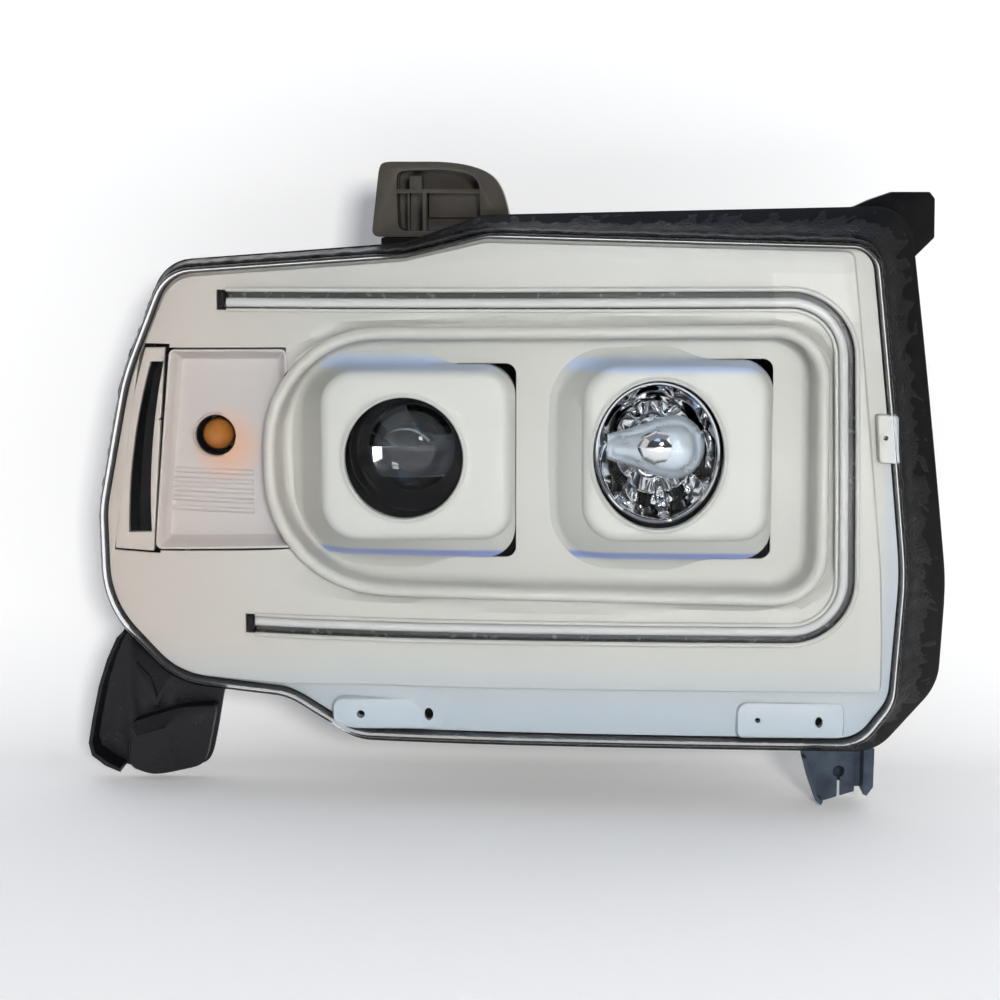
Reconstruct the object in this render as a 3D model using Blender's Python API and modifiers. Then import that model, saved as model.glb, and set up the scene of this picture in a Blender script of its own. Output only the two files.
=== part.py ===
"""Car headlight assembly: one side's headlamp with a projector low beam, a reflector high beam,
a C-shaped light bar, a turn signal and a side marker, in a sealed housing with rear access caps.

Metres. Seen from the front, +X runs inboard (to the right), +Y rearward and +Z up.
Every piece is drawn from a datum on the lamp's face, and the whole lamp then hangs from one empty
that puts the world origin on the rear face of the upper mounting ear.
"""

import math

import bmesh
import bpy
from mathutils import Vector

# ---------------------------------------------------------------- driving dimensions
# The face of the lamp sweeps back towards the fender and is crowned from top to bottom.
FACE_INBOARD_X = 0.248
FACE_SPAN = 0.528
SWEEP_EVEN = 0.014
SWEEP_WRAP = 0.056
CROWN = 0.008
CROWN_HALF_HEIGHT = 0.150

GAP = 0.0004            # air left between neighbouring pieces
WALL = 0.0025           # moulded wall of the housing and lens
TRIM = 0.0022           # moulded wall of the inner trim
ARC_STEPS = 2           # segments in each rounded corner of the lamp's outline

# Outlines are corners (x, z, radius), clockwise as seen from the front. A fourth number is how many
# pieces the straight run after the corner is split in, so that it follows the curved face.
FACE = [
    (-0.232, 0.130, 0.028, 2), (-0.072, 0.142, 0.030), (-0.020, 0.1545, 0.030, 4), (0.226, 0.148, 0.016, 2),
    (0.248, -0.060, 0.200), (0.244, -0.145, 0.030), (0.224, -0.1735, 0.025, 5), (-0.108, -0.1735, 0.040),
    (-0.152, -0.1475, 0.040), (-0.232, -0.1435, 0.050), (-0.281, -0.095, 0.060),
    (-0.2815, -0.030, 0.080), (-0.262, 0.060, 0.150),
]
CREASE = [
    (-0.229, 0.127, 0.026, 2), (-0.072, 0.139, 0.030), (-0.020, 0.151, 0.030, 4), (0.2125, 0.1455, 0.006, 2),
    (0.2335, -0.060, 0.200), (0.2358, -0.110, 0.020), (0.2365, -0.1385, 0.004, 5), (-0.100, -0.1400, 0.020),
    (-0.160, -0.1425, 0.020), (-0.230, -0.1400, 0.048), (-0.278, -0.094, 0.058),
    (-0.2785, -0.030, 0.078), (-0.259, 0.059, 0.150),
]
RIM = [
    (-0.240, 0.137, 0.030, 2), (-0.074, 0.150, 0.030), (-0.024, 0.168, 0.030, 4), (0.252, 0.174, 0.024, 2),
    (0.281, -0.070, 0.200), (0.279, -0.140, 0.040), (0.240, -0.188, 0.030, 5), (-0.112, -0.188, 0.040),
    (-0.156, -0.157, 0.040), (-0.235, -0.151, 0.055), (-0.2885, -0.098, 0.065),
    (-0.2885, -0.028, 0.080), (-0.269, 0.062, 0.150),
]
DEEP = [
    (-0.136, 0.082, 0.018, 2), (-0.072, 0.088, 0.100), (-0.020, 0.092, 0.150, 4), (0.166, 0.090, 0.020, 2),
    (0.176, 0.010, 0.060), (0.176, -0.080, 0.020), (0.162, -0.108, 0.020, 5), (-0.080, -0.108, 0.020),
    (-0.108, -0.100, 0.020), (-0.126, -0.088, 0.020), (-0.140, -0.070, 0.020),
    (-0.143, -0.010, 0.200), (-0.142, 0.040, 0.100),
]
TRAY_RIM = [(-0.166, 0.096, 0.078, 6), (0.198, 0.100, 0.034, 2), (0.200, -0.081, 0.034, 6), (-0.166, -0.078, 0.078)]
TRAY_FLOOR = [(-0.152, 0.085, 0.068, 6), (0.185, 0.089, 0.022, 2), (0.186, -0.069, 0.022, 6), (-0.152, -0.067, 0.068)]
TRAY_STEPS = 4
TRAY_DEPTH = 0.026

# Optical axes run along Y through these (x, z) points.
LOW_AXIS = (-0.0695, 0.016)
LOW_HOLE_CENTRE = (-0.073, 0.012)   # the pod's opening sits a little below and outboard of the lens
HIGH_AXIS = (0.0914, 0.0155)
TURN_AXIS = (-0.201, 0.0224)
SIDE_AXIS = (-0.2415, -0.064)

LOW_POD_FACE = [(-0.127, 0.068, 0.022), (-0.004, 0.069, 0.018), (-0.004, -0.041, 0.018), (-0.127, -0.042, 0.024)]
LOW_POD_BASE = [(-0.141, 0.071, 0.030), (-0.001, 0.072, 0.020), (-0.001, -0.055, 0.020), (-0.141, -0.055, 0.034)]
HIGH_POD_FACE = [(0.043, 0.072, 0.022), (0.162, 0.073, 0.018), (0.162, -0.040, 0.018), (0.043, -0.041, 0.024)]
HIGH_POD_BASE = [(0.029, 0.075, 0.032), (0.165, 0.076, 0.020), (0.165, -0.054, 0.020), (0.029, -0.054, 0.034)]
LOW_POD_Y = 0.019
HIGH_POD_Y = 0.011
POD_BASE_DEPTH = 0.031
LOW_HOLE = (0.0385, 0.0395)
HIGH_HOLE = (0.0420, 0.0480)
POD_SLOT_RADIUS = 0.008
POD_SLOT_CLEARANCE = 0.0018

# The light bar's centre line: a C that opens outboard.
BAR_CORNERS = [(-0.190, 0.113, 0.0), (0.2075, 0.1155, 0.036), (0.2125, -0.0995, 0.036), (-0.174, -0.1015, 0.0)]
BAR_SLOT_HALF = 0.0066
BAR_LIPS = (-0.0077, 0.0086)         # inner and outer edge of the carrier's lips, from the centre line
BAR_GUIDE_RADIUS = 0.0032
BAR_GUIDE_OFFSET = -0.0016          # the guide lies against the slot's inner side

TRIM_HOLES = [
    (-0.104, -0.1620, 0.0028), (-0.0585, -0.1615, 0.0028), (0.1585, -0.1600, 0.0018), (0.1985, -0.1610, 0.0022),
    (0.2348, 0.0288, 0.0014),
]
TURN_WINDOW = [(-0.2320, 0.081), (-0.150, 0.083), (-0.146, -0.050), (-0.2455, -0.0560)]
TURN_POCKET_DEPTH = 0.016
TURN_HOLE_RADIUS = 0.0137
SLOT_FRAME = [(-0.2475, 0.0805), (-0.2335, 0.081), (-0.2465, -0.0560), (-0.2725, -0.0560)]
SLOT = [(-0.2440, 0.0715), (-0.2345, 0.0718), (-0.2465, -0.0430), (-0.2600, -0.0438)]

# Housing depths. The middle wall is the back of the shallow bowl, the rear wall that of the deep box.
CHANNEL_FRONT = 0.024
CHANNEL_FLOOR = 0.038
CHANNEL_BACK = 0.041
MIDDLE_Y = 0.124
REAR_Y = 0.186

# Aiming gear: the carriage tilts about a line through two ball studs; a screw moves its foot.
PIVOT_Y = 0.078
PIVOT_Z = 0.108
PIVOT_XS = {"outboard": -0.104, "inboard": 0.130}
BALL_RADIUS = 0.0050
ADJUSTER_AXIS = (0.012, -0.128)
CARRIER_THICKNESS = 0.004

# Screws that hold the three bolted-on brackets, at (x, z).
TOWER_SCREW = (-0.048, 0.1468)
OUTBOARD_SCREW = (-0.2260, -0.1120)
INBOARD_SCREW = (0.2100, -0.1780)

CAP_NECK_RADIUS = 0.046
NECK_LENGTH = 0.012

EAR_Y = 0.0575
ORIGIN = Vector((0.256, EAR_Y, 0.166))

COLOURS = {
    "black plastic": ((0.020, 0.020, 0.022), 0.45, 0.0),
    "smoked plastic": ((0.075, 0.072, 0.068), 0.35, 0.0),
    "blue grey steel": ((0.085, 0.110, 0.145), 0.40, 0.6),
    "silver trim": ((0.780, 0.780, 0.760), 0.25, 0.7),
    "bright chrome": ((0.850, 0.860, 0.870), 0.05, 1.0),
    "clear plastic": ((0.900, 0.920, 0.940), 0.03, 0.0),
    "optical glass": ((0.850, 0.900, 0.920), 0.01, 0.0),
    "amber glass": ((0.850, 0.330, 0.040), 0.08, 0.0),
    "black rubber": ((0.012, 0.012, 0.012), 0.80, 0.0),
    "zinc steel": ((0.620, 0.630, 0.640), 0.30, 1.0),
    "circuit board": ((0.020, 0.180, 0.070), 0.50, 0.0),
    "cast aluminium": ((0.500, 0.510, 0.520), 0.45, 1.0),
    "nylon": ((0.820, 0.800, 0.740), 0.50, 0.0),
}


# ---------------------------------------------------------------- scene, materials, placing
for old in list(bpy.data.objects):
    bpy.data.objects.remove(old)
PARTS = bpy.data.collections.new("car_headlight")
CUTTERS = bpy.data.collections.new("cutters")
for group in (PARTS, CUTTERS):
    bpy.context.scene.collection.children.link(group)


def empty(name, place, parent=None):
    """A bare frame at a place measured from the lamp's datum."""
    made = bpy.data.objects.new(name, None)
    PARTS.objects.link(made)
    made.parent = parent
    made.location = Vector(place) if parent is None else Vector(place) - Vector(parent["place"])
    made["place"] = list(place)
    return made


LAMP = empty("lamp_frame", (0.0, 0.0, 0.0))
LAMP.location = -ORIGIN


def material(name):
    made = bpy.data.materials.get(name)
    if made is None:
        colour, roughness, metallic = COLOURS[name]
        made = bpy.data.materials.new(name)
        made.use_nodes = True
        shader = made.node_tree.nodes["Principled BSDF"]
        shader.inputs["Base Color"].default_value = (*colour, 1.0)
        shader.inputs["Roughness"].default_value = roughness
        shader.inputs["Metallic"].default_value = metallic
    return made


def place(obj, at, finish, parent=None):
    """Puts a piece at a point measured from the datum, under the lamp's frame or a moving frame."""
    parent = parent or LAMP
    for group in list(obj.users_collection):
        group.objects.unlink(obj)
    (PARTS if finish else CUTTERS).objects.link(obj)
    obj.parent = parent
    obj.location = Vector(at) - Vector(parent["place"])
    if finish:
        obj.data.materials.clear()
        obj.data.materials.append(material(finish))
    else:
        obj.hide_render = True
        obj.display_type = "WIRE"
    return obj


def smooth(obj, angle=35):
    obj.data.shade_smooth()
    obj.data.set_sharp_from_angle(angle=math.radians(angle))
    return obj


# ---------------------------------------------------------------- outlines and surfaces
def face_depth(x, z):
    """How far the lamp's face lies behind its foremost plane at (x, z)."""
    share = max(0.0, (FACE_INBOARD_X - x) / FACE_SPAN)
    return SWEEP_EVEN * share + SWEEP_WRAP * share**4 + CROWN * (z / CROWN_HALF_HEIGHT) ** 2


def grown(corners, by):
    """The outline moved outwards by a distance, or inwards by a negative one."""
    result = []
    count = len(corners)
    for i, corner in enumerate(corners):
        here = Vector(corner[:2])
        before = Vector(corners[i - 1][:2])
        after = Vector(corners[(i + 1) % count][:2])
        d1, d2 = (here - before).normalized(), (after - here).normalized()
        n1, n2 = Vector((-d1.y, d1.x)), Vector((-d2.y, d2.x))
        turn = d1.x * d2.y - d1.y * d2.x
        moved = here + (n1 + n2) * (by / (1.0 + n1.dot(n2)))
        radius = max(0.002, corner[2] + by * (1 if turn < 0 else -1))
        result.append((moved.x, moved.y, radius) + tuple(corner[3:]))
    return result


def corner_arc(corners, i, steps):
    """The points of one corner's arc, or the corner itself where its radius is 0."""
    here = Vector(corners[i][:2])
    radius = corners[i][2]
    if radius <= 0.0:
        return [here]
    to_before = Vector(corners[i - 1][:2]) - here
    to_after = Vector(corners[(i + 1) % len(corners)][:2]) - here
    half = to_before.angle(to_after) / 2
    reach = min(radius / math.tan(half), 0.46 * to_before.length, 0.46 * to_after.length)
    start = here + to_before.normalized() * reach
    end = here + to_after.normalized() * reach
    bisector = (to_before.normalized() + to_after.normalized()).normalized()
    centre = here + bisector * (reach / math.cos(half))
    first = start - centre
    sweep = first.angle_signed(end - centre)
    arc = []
    for k in range(steps + 1):
        cosine, sine = math.cos(-sweep * k / steps), math.sin(-sweep * k / steps)
        arc.append(centre + Vector((first.x * cosine - first.y * sine, first.x * sine + first.y * cosine)))
    return arc


def rounded(corners, steps=ARC_STEPS):
    """The outline as points, with an arc of so many segments at each corner."""
    arcs = [corner_arc(corners, i, steps) for i in range(len(corners))]
    points = []
    for i, arc in enumerate(arcs):
        after = arcs[(i + 1) % len(arcs)][0]
        pieces = corners[i][3] if len(corners[i]) > 3 else 1
        points += arc + [arc[-1].lerp(after, k / pieces) for k in range(1, pieces)]
    return points


def swept(corners, depth, steps=ARC_STEPS):
    """An outline as a ring that lies at a depth behind the lamp's face."""
    return [Vector((p.x, face_depth(p.x, p.y) + depth, p.y)) for p in rounded(corners, steps)]


def level(corners, y, steps=ARC_STEPS):
    """An outline as a flat ring."""
    return [Vector((p.x, y, p.y)) for p in rounded(corners, steps)]


def oval(axis, half_width, half_height, y, count):
    """An ellipse as a flat ring, whose points pair with those of a four-cornered outline."""
    first = math.pi * 0.75 + math.pi * (count // 4 - 1) / count
    angles = [first - 2 * math.pi * k / count for k in range(count)]
    return [Vector((axis[0] + half_width * math.cos(a), y, axis[1] + half_height * math.sin(a))) for a in angles]


def shrunk(ring, share, centre, depth):
    """A ring drawn in towards a centre, laid back on the face at a depth."""
    result = []
    for p in ring:
        x = centre[0] + (p.x - centre[0]) * share
        z = centre[1] + (p.z - centre[1]) * share
        result.append(Vector((x, face_depth(x, z) + depth, z)))
    return result


# ---------------------------------------------------------------- makers
def loft(name, rings, finish, round_section=False, parent=None):
    """A solid through rings of equal count, capped at both ends or with its last ring joined to its first."""
    mesh = bpy.data.meshes.new(name)
    shape = bmesh.new()
    rows = [[shape.verts.new(p) for p in ring] for ring in rings]
    pairs = list(zip(rows, rows[1:]))
    if round_section:
        pairs.append((rows[-1], rows[0]))
    else:
        shape.faces.new(rows[0])
        shape.faces.new(rows[-1])
    for front, back in pairs:
        for i in range(len(front)):
            j = (i + 1) % len(front)
            shape.faces.new((front[i], front[j], back[j], back[i]))
    bmesh.ops.recalc_face_normals(shape, faces=shape.faces)
    shape.to_mesh(mesh)
    shape.free()
    return smooth(place(bpy.data.objects.new(name, mesh), (0.0, 0.0, 0.0), finish, parent))


def shell(name, outside, inside, finish, parent=None):
    """A thin-walled tub: its outer rings from the rim to the bottom, then its inner rings likewise."""
    return loft(name, list(reversed(outside)) + inside, finish, parent=parent)


def prism(name, points, front, back, finish=None, parent=None):
    """A straight solid along Y with this outline."""
    rings = [[Vector((p[0], y, p[1])) for p in points] for y in (front, back)]
    return loft(name, rings, finish, parent=parent)


def turned(name, axis, profile, finish, steps=20, ring=False, parent=None):
    """A turned solid about a line along Y. The profile is (radius, y) points; a ring closes on itself."""
    area = sum(a[0] * b[1] - b[0] * a[1] for a, b in zip(profile, profile[1:] + profile[:1]))
    points = list(profile) if area < 0 else list(reversed(profile))
    mesh = bpy.data.meshes.new(name)
    edges = [(i, i + 1) for i in range(len(points) - 1)]
    if ring:
        edges.append((len(points) - 1, 0))
    mesh.from_pydata([(r, 0.0, y) for r, y in points], edges, [])
    obj = place(bpy.data.objects.new(name, mesh), (axis[0], 0.0, axis[1]), finish, parent)
    obj.rotation_euler = (-math.pi / 2, 0.0, 0.0)
    screw = obj.modifiers.new("turn", "SCREW")
    screw.axis = "Z"
    screw.steps = screw.render_steps = steps
    screw.use_merge_vertices = True
    screw.merge_threshold = 0.00001
    screw.use_smooth_shade = True
    return obj


def rod(name, axis, radius, front, back, finish=None, parent=None, vertices=20):
    """A straight cylinder along Y."""
    mesh = bpy.data.meshes.new(name)
    shape = bmesh.new()
    bmesh.ops.create_cone(
        shape, cap_ends=True, segments=vertices, radius1=radius, radius2=radius, depth=back - front
    )
    shape.to_mesh(mesh)
    shape.free()
    obj = place(bpy.data.objects.new(name, mesh), (axis[0], (front + back) / 2, axis[1]), finish, parent)
    obj.rotation_euler = (math.pi / 2, 0.0, 0.0)
    return smooth(obj)


def box(name, low, high, finish=None, parent=None, bevel=0.0):
    """A block between two corners."""
    low, high = Vector(low), Vector(high)
    mesh = bpy.data.meshes.new(name)
    shape = bmesh.new()
    bmesh.ops.create_cube(shape, size=1.0)
    for vertex in shape.verts:
        vertex.co = Vector(a * b for a, b in zip(vertex.co, high - low))
    shape.to_mesh(mesh)
    shape.free()
    obj = place(bpy.data.objects.new(name, mesh), (low + high) / 2, finish, parent)
    if bevel:
        soften = obj.modifiers.new("edges", "BEVEL")
        soften.width = bevel
        soften.segments = 1
    return obj


def slab(name, near, far, finish=None, columns=12, rows=5):
    """A curved slab that follows the lamp's face, from one depth behind it to another."""
    mesh = bpy.data.meshes.new(name)
    shape = bmesh.new()
    bmesh.ops.create_grid(shape, x_segments=columns, y_segments=rows, size=0.5)
    for vertex in shape.verts:
        x = -0.006 + vertex.co.x * 0.610
        z = -0.010 + vertex.co.y * 0.380
        vertex.co = Vector((x, face_depth(x, z) + near, z))
    bmesh.ops.recalc_face_normals(shape, faces=shape.faces)
    if shape.faces[:][0].normal.y > 0:
        bmesh.ops.reverse_faces(shape, faces=shape.faces)
    shape.to_mesh(mesh)
    shape.free()
    obj = place(bpy.data.objects.new(name, mesh), (0.0, 0.0, 0.0), finish)
    solidify = obj.modifiers.new("wall", "SOLIDIFY")
    solidify.thickness = far - near
    solidify.offset = -1.0
    return smooth(obj)


def boolean(obj, other, operation):
    change = obj.modifiers.new(f"{operation.lower()} {other.name}", "BOOLEAN")
    change.operation = operation
    change.object = other
    change.solver = "EXACT"
    return obj


def cut(obj, *others):
    for other in others:
        boolean(obj, other, "DIFFERENCE")
    return obj


def join(obj, *others):
    for other in others:
        boolean(obj, other, "UNION")
    return obj


def keep(obj, other):
    return boolean(obj, other, "INTERSECT")


# ---------------------------------------------------------------- lens, seal, housing
def outer_lens():
    """Clear cover: a crowned front that rolls into a skirt, whose edge sits in the housing's channel."""
    edge = CHANNEL_FLOOR - 0.0046
    outside = [(0.0028, edge), (0.0028, -0.0020), (0.0010, -0.0085), (-0.0040, -0.0125), (-0.0110, -0.0145)]
    inside = [(0.0003, edge), (0.0003, -0.0010), (-0.0014, -0.0068), (-0.0054, -0.0101), (-0.0118, -0.0120)]
    outside = [swept(grown(FACE, by), depth) for by, depth in outside]
    inside = [swept(grown(FACE, by), depth) for by, depth in inside]
    for share in (0.64, 0.28):
        outside.append(shrunk(outside[4], share, (0.0, -0.005), -0.0150))
        inside.append(shrunk(inside[4], share, (0.0, -0.005), -0.0125))
    return shell("outer_lens", outside, inside, "clear plastic")


def lens_seal():
    """Bead of sealant that fills the channel under the skirt's edge."""
    low, high = CHANNEL_FLOOR - 0.0036, CHANNEL_FLOOR - GAP
    inner, outer = grown(FACE, -0.0008), grown(FACE, 0.0032)
    rings = [swept(inner, low), swept(outer, low), swept(outer, high), swept(inner, high)]
    return loft("lens_seal", rings, "black rubber", round_section=True)


def housing_ear():
    """Upper inboard mounting ear: a flat plate at the housing's corner."""
    corners = [
        (0.195, 0.150), (0.2105, 0.1705), (0.2268, 0.1778), (0.2412, 0.1828), (0.2655, 0.1828), (0.2690, 0.1785),
        (0.2694, 0.1535), (0.2560, 0.1400), (0.2565, 0.1180), (0.2300, 0.1180),
    ]
    return prism("ear", corners, EAR_Y - 0.0095, EAR_Y)


def housing():
    """Rear casing: a shallow bowl with a deeper box behind the two main beams, open at the front."""
    front, floor, back = CHANNEL_FRONT, CHANNEL_FLOOR, CHANNEL_BACK
    outside = [
        swept(grown(FACE, 0.0036), front), swept(grown(FACE, 0.0052), front),
        swept(RIM, front + 0.007), swept(RIM, front + 0.011),
        swept(grown(FACE, 0.0050), back), swept(grown(FACE, -0.0020), back + 0.0010),
        level(grown(FACE, -0.0200), MIDDLE_Y), level(DEEP, MIDDLE_Y), level(grown(DEEP, -0.0030), REAR_Y),
    ]
    inside = [
        swept(grown(FACE, 0.0036), floor), swept(grown(FACE, -0.0012), floor),
        swept(grown(FACE, -0.0012), front + 0.002), swept(grown(FACE, -0.0036), front + 0.002),
        swept(grown(FACE, -0.0048), back), level(grown(FACE, -0.0225), MIDDLE_Y - WALL),
        level(grown(DEEP, -WALL), MIDDLE_Y - WALL), level(grown(DEEP, -0.0030 - WALL), REAR_Y - WALL),
    ]
    obj = shell("housing", outside, inside, "black plastic")
    join(obj, housing_ear())
    for name, axis in (("low", LOW_AXIS), ("high", HIGH_AXIS)):
        join(obj, rod(f"{name}_neck", axis, CAP_NECK_RADIUS, REAR_Y - 0.002, REAR_Y + NECK_LENGTH, vertices=24))
    join(obj, rod("turn_boss", TURN_AXIS, 0.0190, MIDDLE_Y - 0.002, MIDDLE_Y + 0.004))
    join(obj, rod("side_boss", SIDE_AXIS, 0.0120, MIDDLE_Y - 0.002, MIDDLE_Y + 0.004))
    join(obj, rod("adjuster_boss", ADJUSTER_AXIS, 0.0085, MIDDLE_Y - 0.006, MIDDLE_Y + 0.003))
    for side, x in PIVOT_XS.items():
        join(obj, rod(f"{side}_stud_boss", (x, PIVOT_Z), 0.0075, MIDDLE_Y - 0.012, MIDDLE_Y - 0.001, vertices=12))
    join(obj, box("tower_pad", (-0.091, 0.0685, 0.122), (-0.010, 0.0955, 0.1530)))
    join(obj, box("inboard_lug", (0.1960, 0.0505, -0.1860), (0.2280, 0.0616, -0.1650)))
    join(obj, rod("outboard_screw_boss", OUTBOARD_SCREW, 0.0055, MIDDLE_Y - 0.0095, MIDDLE_Y - 0.0010, vertices=12))
    for i, (low, high) in enumerate(back_ribs()):
        join(obj, box(f"back_rib_{i}", low, high))
    for name, axis in (("low", LOW_AXIS), ("high", HIGH_AXIS)):
        cut(obj, rod(f"{name}_bore", axis, CAP_NECK_RADIUS - 0.003, REAR_Y - 0.006, REAR_Y + 0.02, vertices=24))
    cut(obj, rod("turn_bore", TURN_AXIS, 0.0150, MIDDLE_Y - 0.010, MIDDLE_Y + 0.010))
    cut(obj, rod("side_bore", SIDE_AXIS, 0.0090, MIDDLE_Y - 0.010, MIDDLE_Y + 0.010))
    cut(obj, rod("adjuster_bore", ADJUSTER_AXIS, 0.0056, MIDDLE_Y - 0.010, MIDDLE_Y + 0.010, vertices=16))
    cut(obj, rod("tower_screw_bore", TOWER_SCREW, 0.0028, 0.0830, 0.1100, vertices=12))
    cut(obj, rod("inboard_screw_bore", INBOARD_SCREW, 0.0026, 0.0550, 0.0700, vertices=12))
    return cut(obj, rod("outboard_screw_bore", OUTBOARD_SCREW, 0.0028, MIDDLE_Y - 0.0080, MIDDLE_Y + 0.01, vertices=12))


def back_ribs():
    """Stiffening ribs on the middle wall, between the bowl's rim and the deep box."""
    front, back = MIDDLE_Y - 0.0015, MIDDLE_Y + 0.016
    upright = [(x, 0.0850, 0.1300) for x in (-0.060, 0.000, 0.060, 0.120)]
    lower = [(x, -0.1500, -0.1035) for x in (-0.040, 0.060, 0.130)]
    for x, low, high in upright + lower:
        yield (x - 0.0012, front, low), (x + 0.0012, back, high)
    for z in (-0.030, 0.060):
        yield (-0.180, front, z - 0.0012), (-0.139, back, z + 0.0012)
        yield (0.1715, front, z - 0.0012), (0.2150, back, z + 0.0012)


# ---------------------------------------------------------------- inner trim
def bezel():
    """Main trim: a crowned face, a step back at its crease and a flange with screw pads below."""
    obj = slab("bezel", 0.0, TRIM, "silver trim")
    keep(obj, prism("face_outline", rounded(grown(CREASE, -0.001)), -0.1, 0.3))
    edge = grown(FACE, -0.0006)
    inner = grown(CREASE, -0.0026)
    section = [
        (inner, 0.0002), (grown(CREASE, -0.0006), 0.0), (CREASE, 0.0006), (CREASE, 0.0095),
        (edge, 0.0105), (edge, 0.0125), (inner, 0.0125),
    ]
    join(obj, loft("bezel_edge", [swept(c, d) for c, d in section], None, round_section=True))
    for i, (x0, x1, z0, z1) in enumerate(((-0.124, -0.050, -0.1700, -0.1520), (0.145, 0.214, -0.1700, -0.1485))):
        depth = face_depth((x0 + x1) / 2, -0.16)
        pad = box(f"screw_pad_{i}", (x0, depth + 0.0078, z0), (x1, depth + 0.0122, z1))
        join(obj, keep(pad, prism(f"screw_pad_{i}_outline", rounded(grown(FACE, -0.0016)), -0.1, 0.3)))
    cut(obj, prism("tray_opening", rounded(grown(TRAY_RIM, -0.0040), TRAY_STEPS), -0.1, 0.3))
    cut(obj, prism("turn_opening", TURN_WINDOW, -0.1, 0.3))
    cut(obj, prism("slot_opening", [(-0.2505, 0.0835), (-0.230, 0.0835), (-0.240, -0.0575), (-0.2740, -0.0575)], -0.1, 0.3))
    half = BAR_SLOT_HALF
    cut(obj, bar_loft("bar_slot", [(-half, -0.01), (half, -0.01), (half, 0.02), (-half, 0.02)], None))
    for i, (x, z, _) in enumerate((BAR_CORNERS[0], BAR_CORNERS[3])):
        cut(obj, box(f"board_notch_{i}", (x - 0.0068, -0.05, z - half), (x + 0.0010, 0.1, z + half)))
    for i, (x, z, radius) in enumerate(TRIM_HOLES):
        cut(obj, rod(f"trim_hole_{i}", (x, z), radius, -0.05, 0.1, vertices=10))
    return obj


def bar_path():
    """Points of the light bar's centre line, each with its sideways direction, along the face."""
    flat = rounded(BAR_CORNERS, steps=4)
    points = []
    for a, b in zip(flat, flat[1:]):
        pieces = max(1, round((b - a).length / 0.044))
        points += [a + (b - a) * (k / pieces) for k in range(pieces)]
    points.append(flat[-1])
    for i, p in enumerate(points):
        along = (points[min(i + 1, len(points) - 1)] - points[max(i - 1, 0)]).normalized()
        yield p, Vector((-along.y, along.x))


def bar_loft(name, section, finish, parent=None):
    """Sweeps a section of (sideways, depth) points along the light bar's path."""
    rings = []
    for p, side in bar_path():
        across = [p + side * s for s, _ in section]
        depth = face_depth(p.x, p.y)
        rings.append([Vector((q.x, depth + d, q.y)) for q, (_, d) in zip(across, section)])
    return loft(name, rings, finish, parent=parent)


def light_bar_channel():
    """Bright carrier that drops in the face's slot, with a lip on each side."""
    (inner, outer), slot, wall = BAR_LIPS, BAR_SLOT_HALF - GAP, 0.0010
    section = [
        (inner, -0.0009), (inner + 0.0008, -0.0026), (-slot + wall, -0.0026), (-slot + wall, 0.0060),
        (slot - wall, 0.0060), (slot - wall, -0.0026), (outer - 0.0008, -0.0030), (outer, -0.0009),
        (slot, -0.0009), (slot, 0.0074), (-slot, 0.0074), (-slot, -0.0009),
    ]
    return bar_loft("light_bar_channel", section, "bright chrome")


def light_bar_guide():
    """Clear rod that carries the light from a diode board at each end."""
    section = [
        (BAR_GUIDE_OFFSET + BAR_GUIDE_RADIUS * math.cos(math.pi * k / 3), 0.0022 + BAR_GUIDE_RADIUS * math.sin(math.pi * k / 3))
        for k in range(6)
    ]
    return bar_loft("light_bar_guide", section, "clear plastic")


def light_bar_board(name, x, z):
    """Diode board that shines into one end of the guide."""
    y = face_depth(x, z)
    low, high = (x - 0.0062, y - 0.0014, z - 0.0052), (x - 0.0012, y + 0.0066, z + 0.0052)
    return box(name, low, high, "circuit board")


def recess_panel():
    """Tub that carries the pods: a rolled lip over the face, a short wall and a swept floor."""
    lip = [(0.0, -0.0006), (-0.0010, -0.0030), (-0.0040, -0.0040), (-0.0075, -0.0020)]
    under = [(-0.0016, -0.0006), (-0.0022, -0.0018), (-0.0040, -0.0024), (-0.0054, -0.0006)]
    front = [swept(grown(TRAY_RIM, by), depth, TRAY_STEPS) for by, depth in lip]
    back = [swept(grown(TRAY_RIM, by), depth, TRAY_STEPS) for by, depth in under]
    front += [
        swept(grown(TRAY_FLOOR, 0.0030), TRAY_DEPTH - 0.0060, TRAY_STEPS),
        swept(TRAY_FLOOR, TRAY_DEPTH, TRAY_STEPS),
    ]
    back += [
        swept(grown(TRAY_FLOOR, 0.0052), TRAY_DEPTH - 0.0055, TRAY_STEPS),
        swept(grown(TRAY_FLOOR, 0.0016), TRAY_DEPTH + TRIM, TRAY_STEPS),
    ]
    front.append(shrunk(front[5], 0.50, (0.018, 0.008), TRAY_DEPTH))
    back.append(shrunk(back[5], 0.50, (0.018, 0.008), TRAY_DEPTH + TRIM))
    obj = shell("recess_panel", front, back, "silver trim")
    for name, base in (("low", LOW_POD_BASE), ("high", HIGH_POD_BASE)):
        opening = [
            (x, z, POD_SLOT_RADIUS if x > base[0][0] + 0.01 else radius)
            for x, z, radius in grown(base, POD_SLOT_CLEARANCE)
        ]
        cut(obj, prism(f"{name}_pod_opening", rounded(opening, 3), -0.1, 0.3))
    return obj


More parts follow.
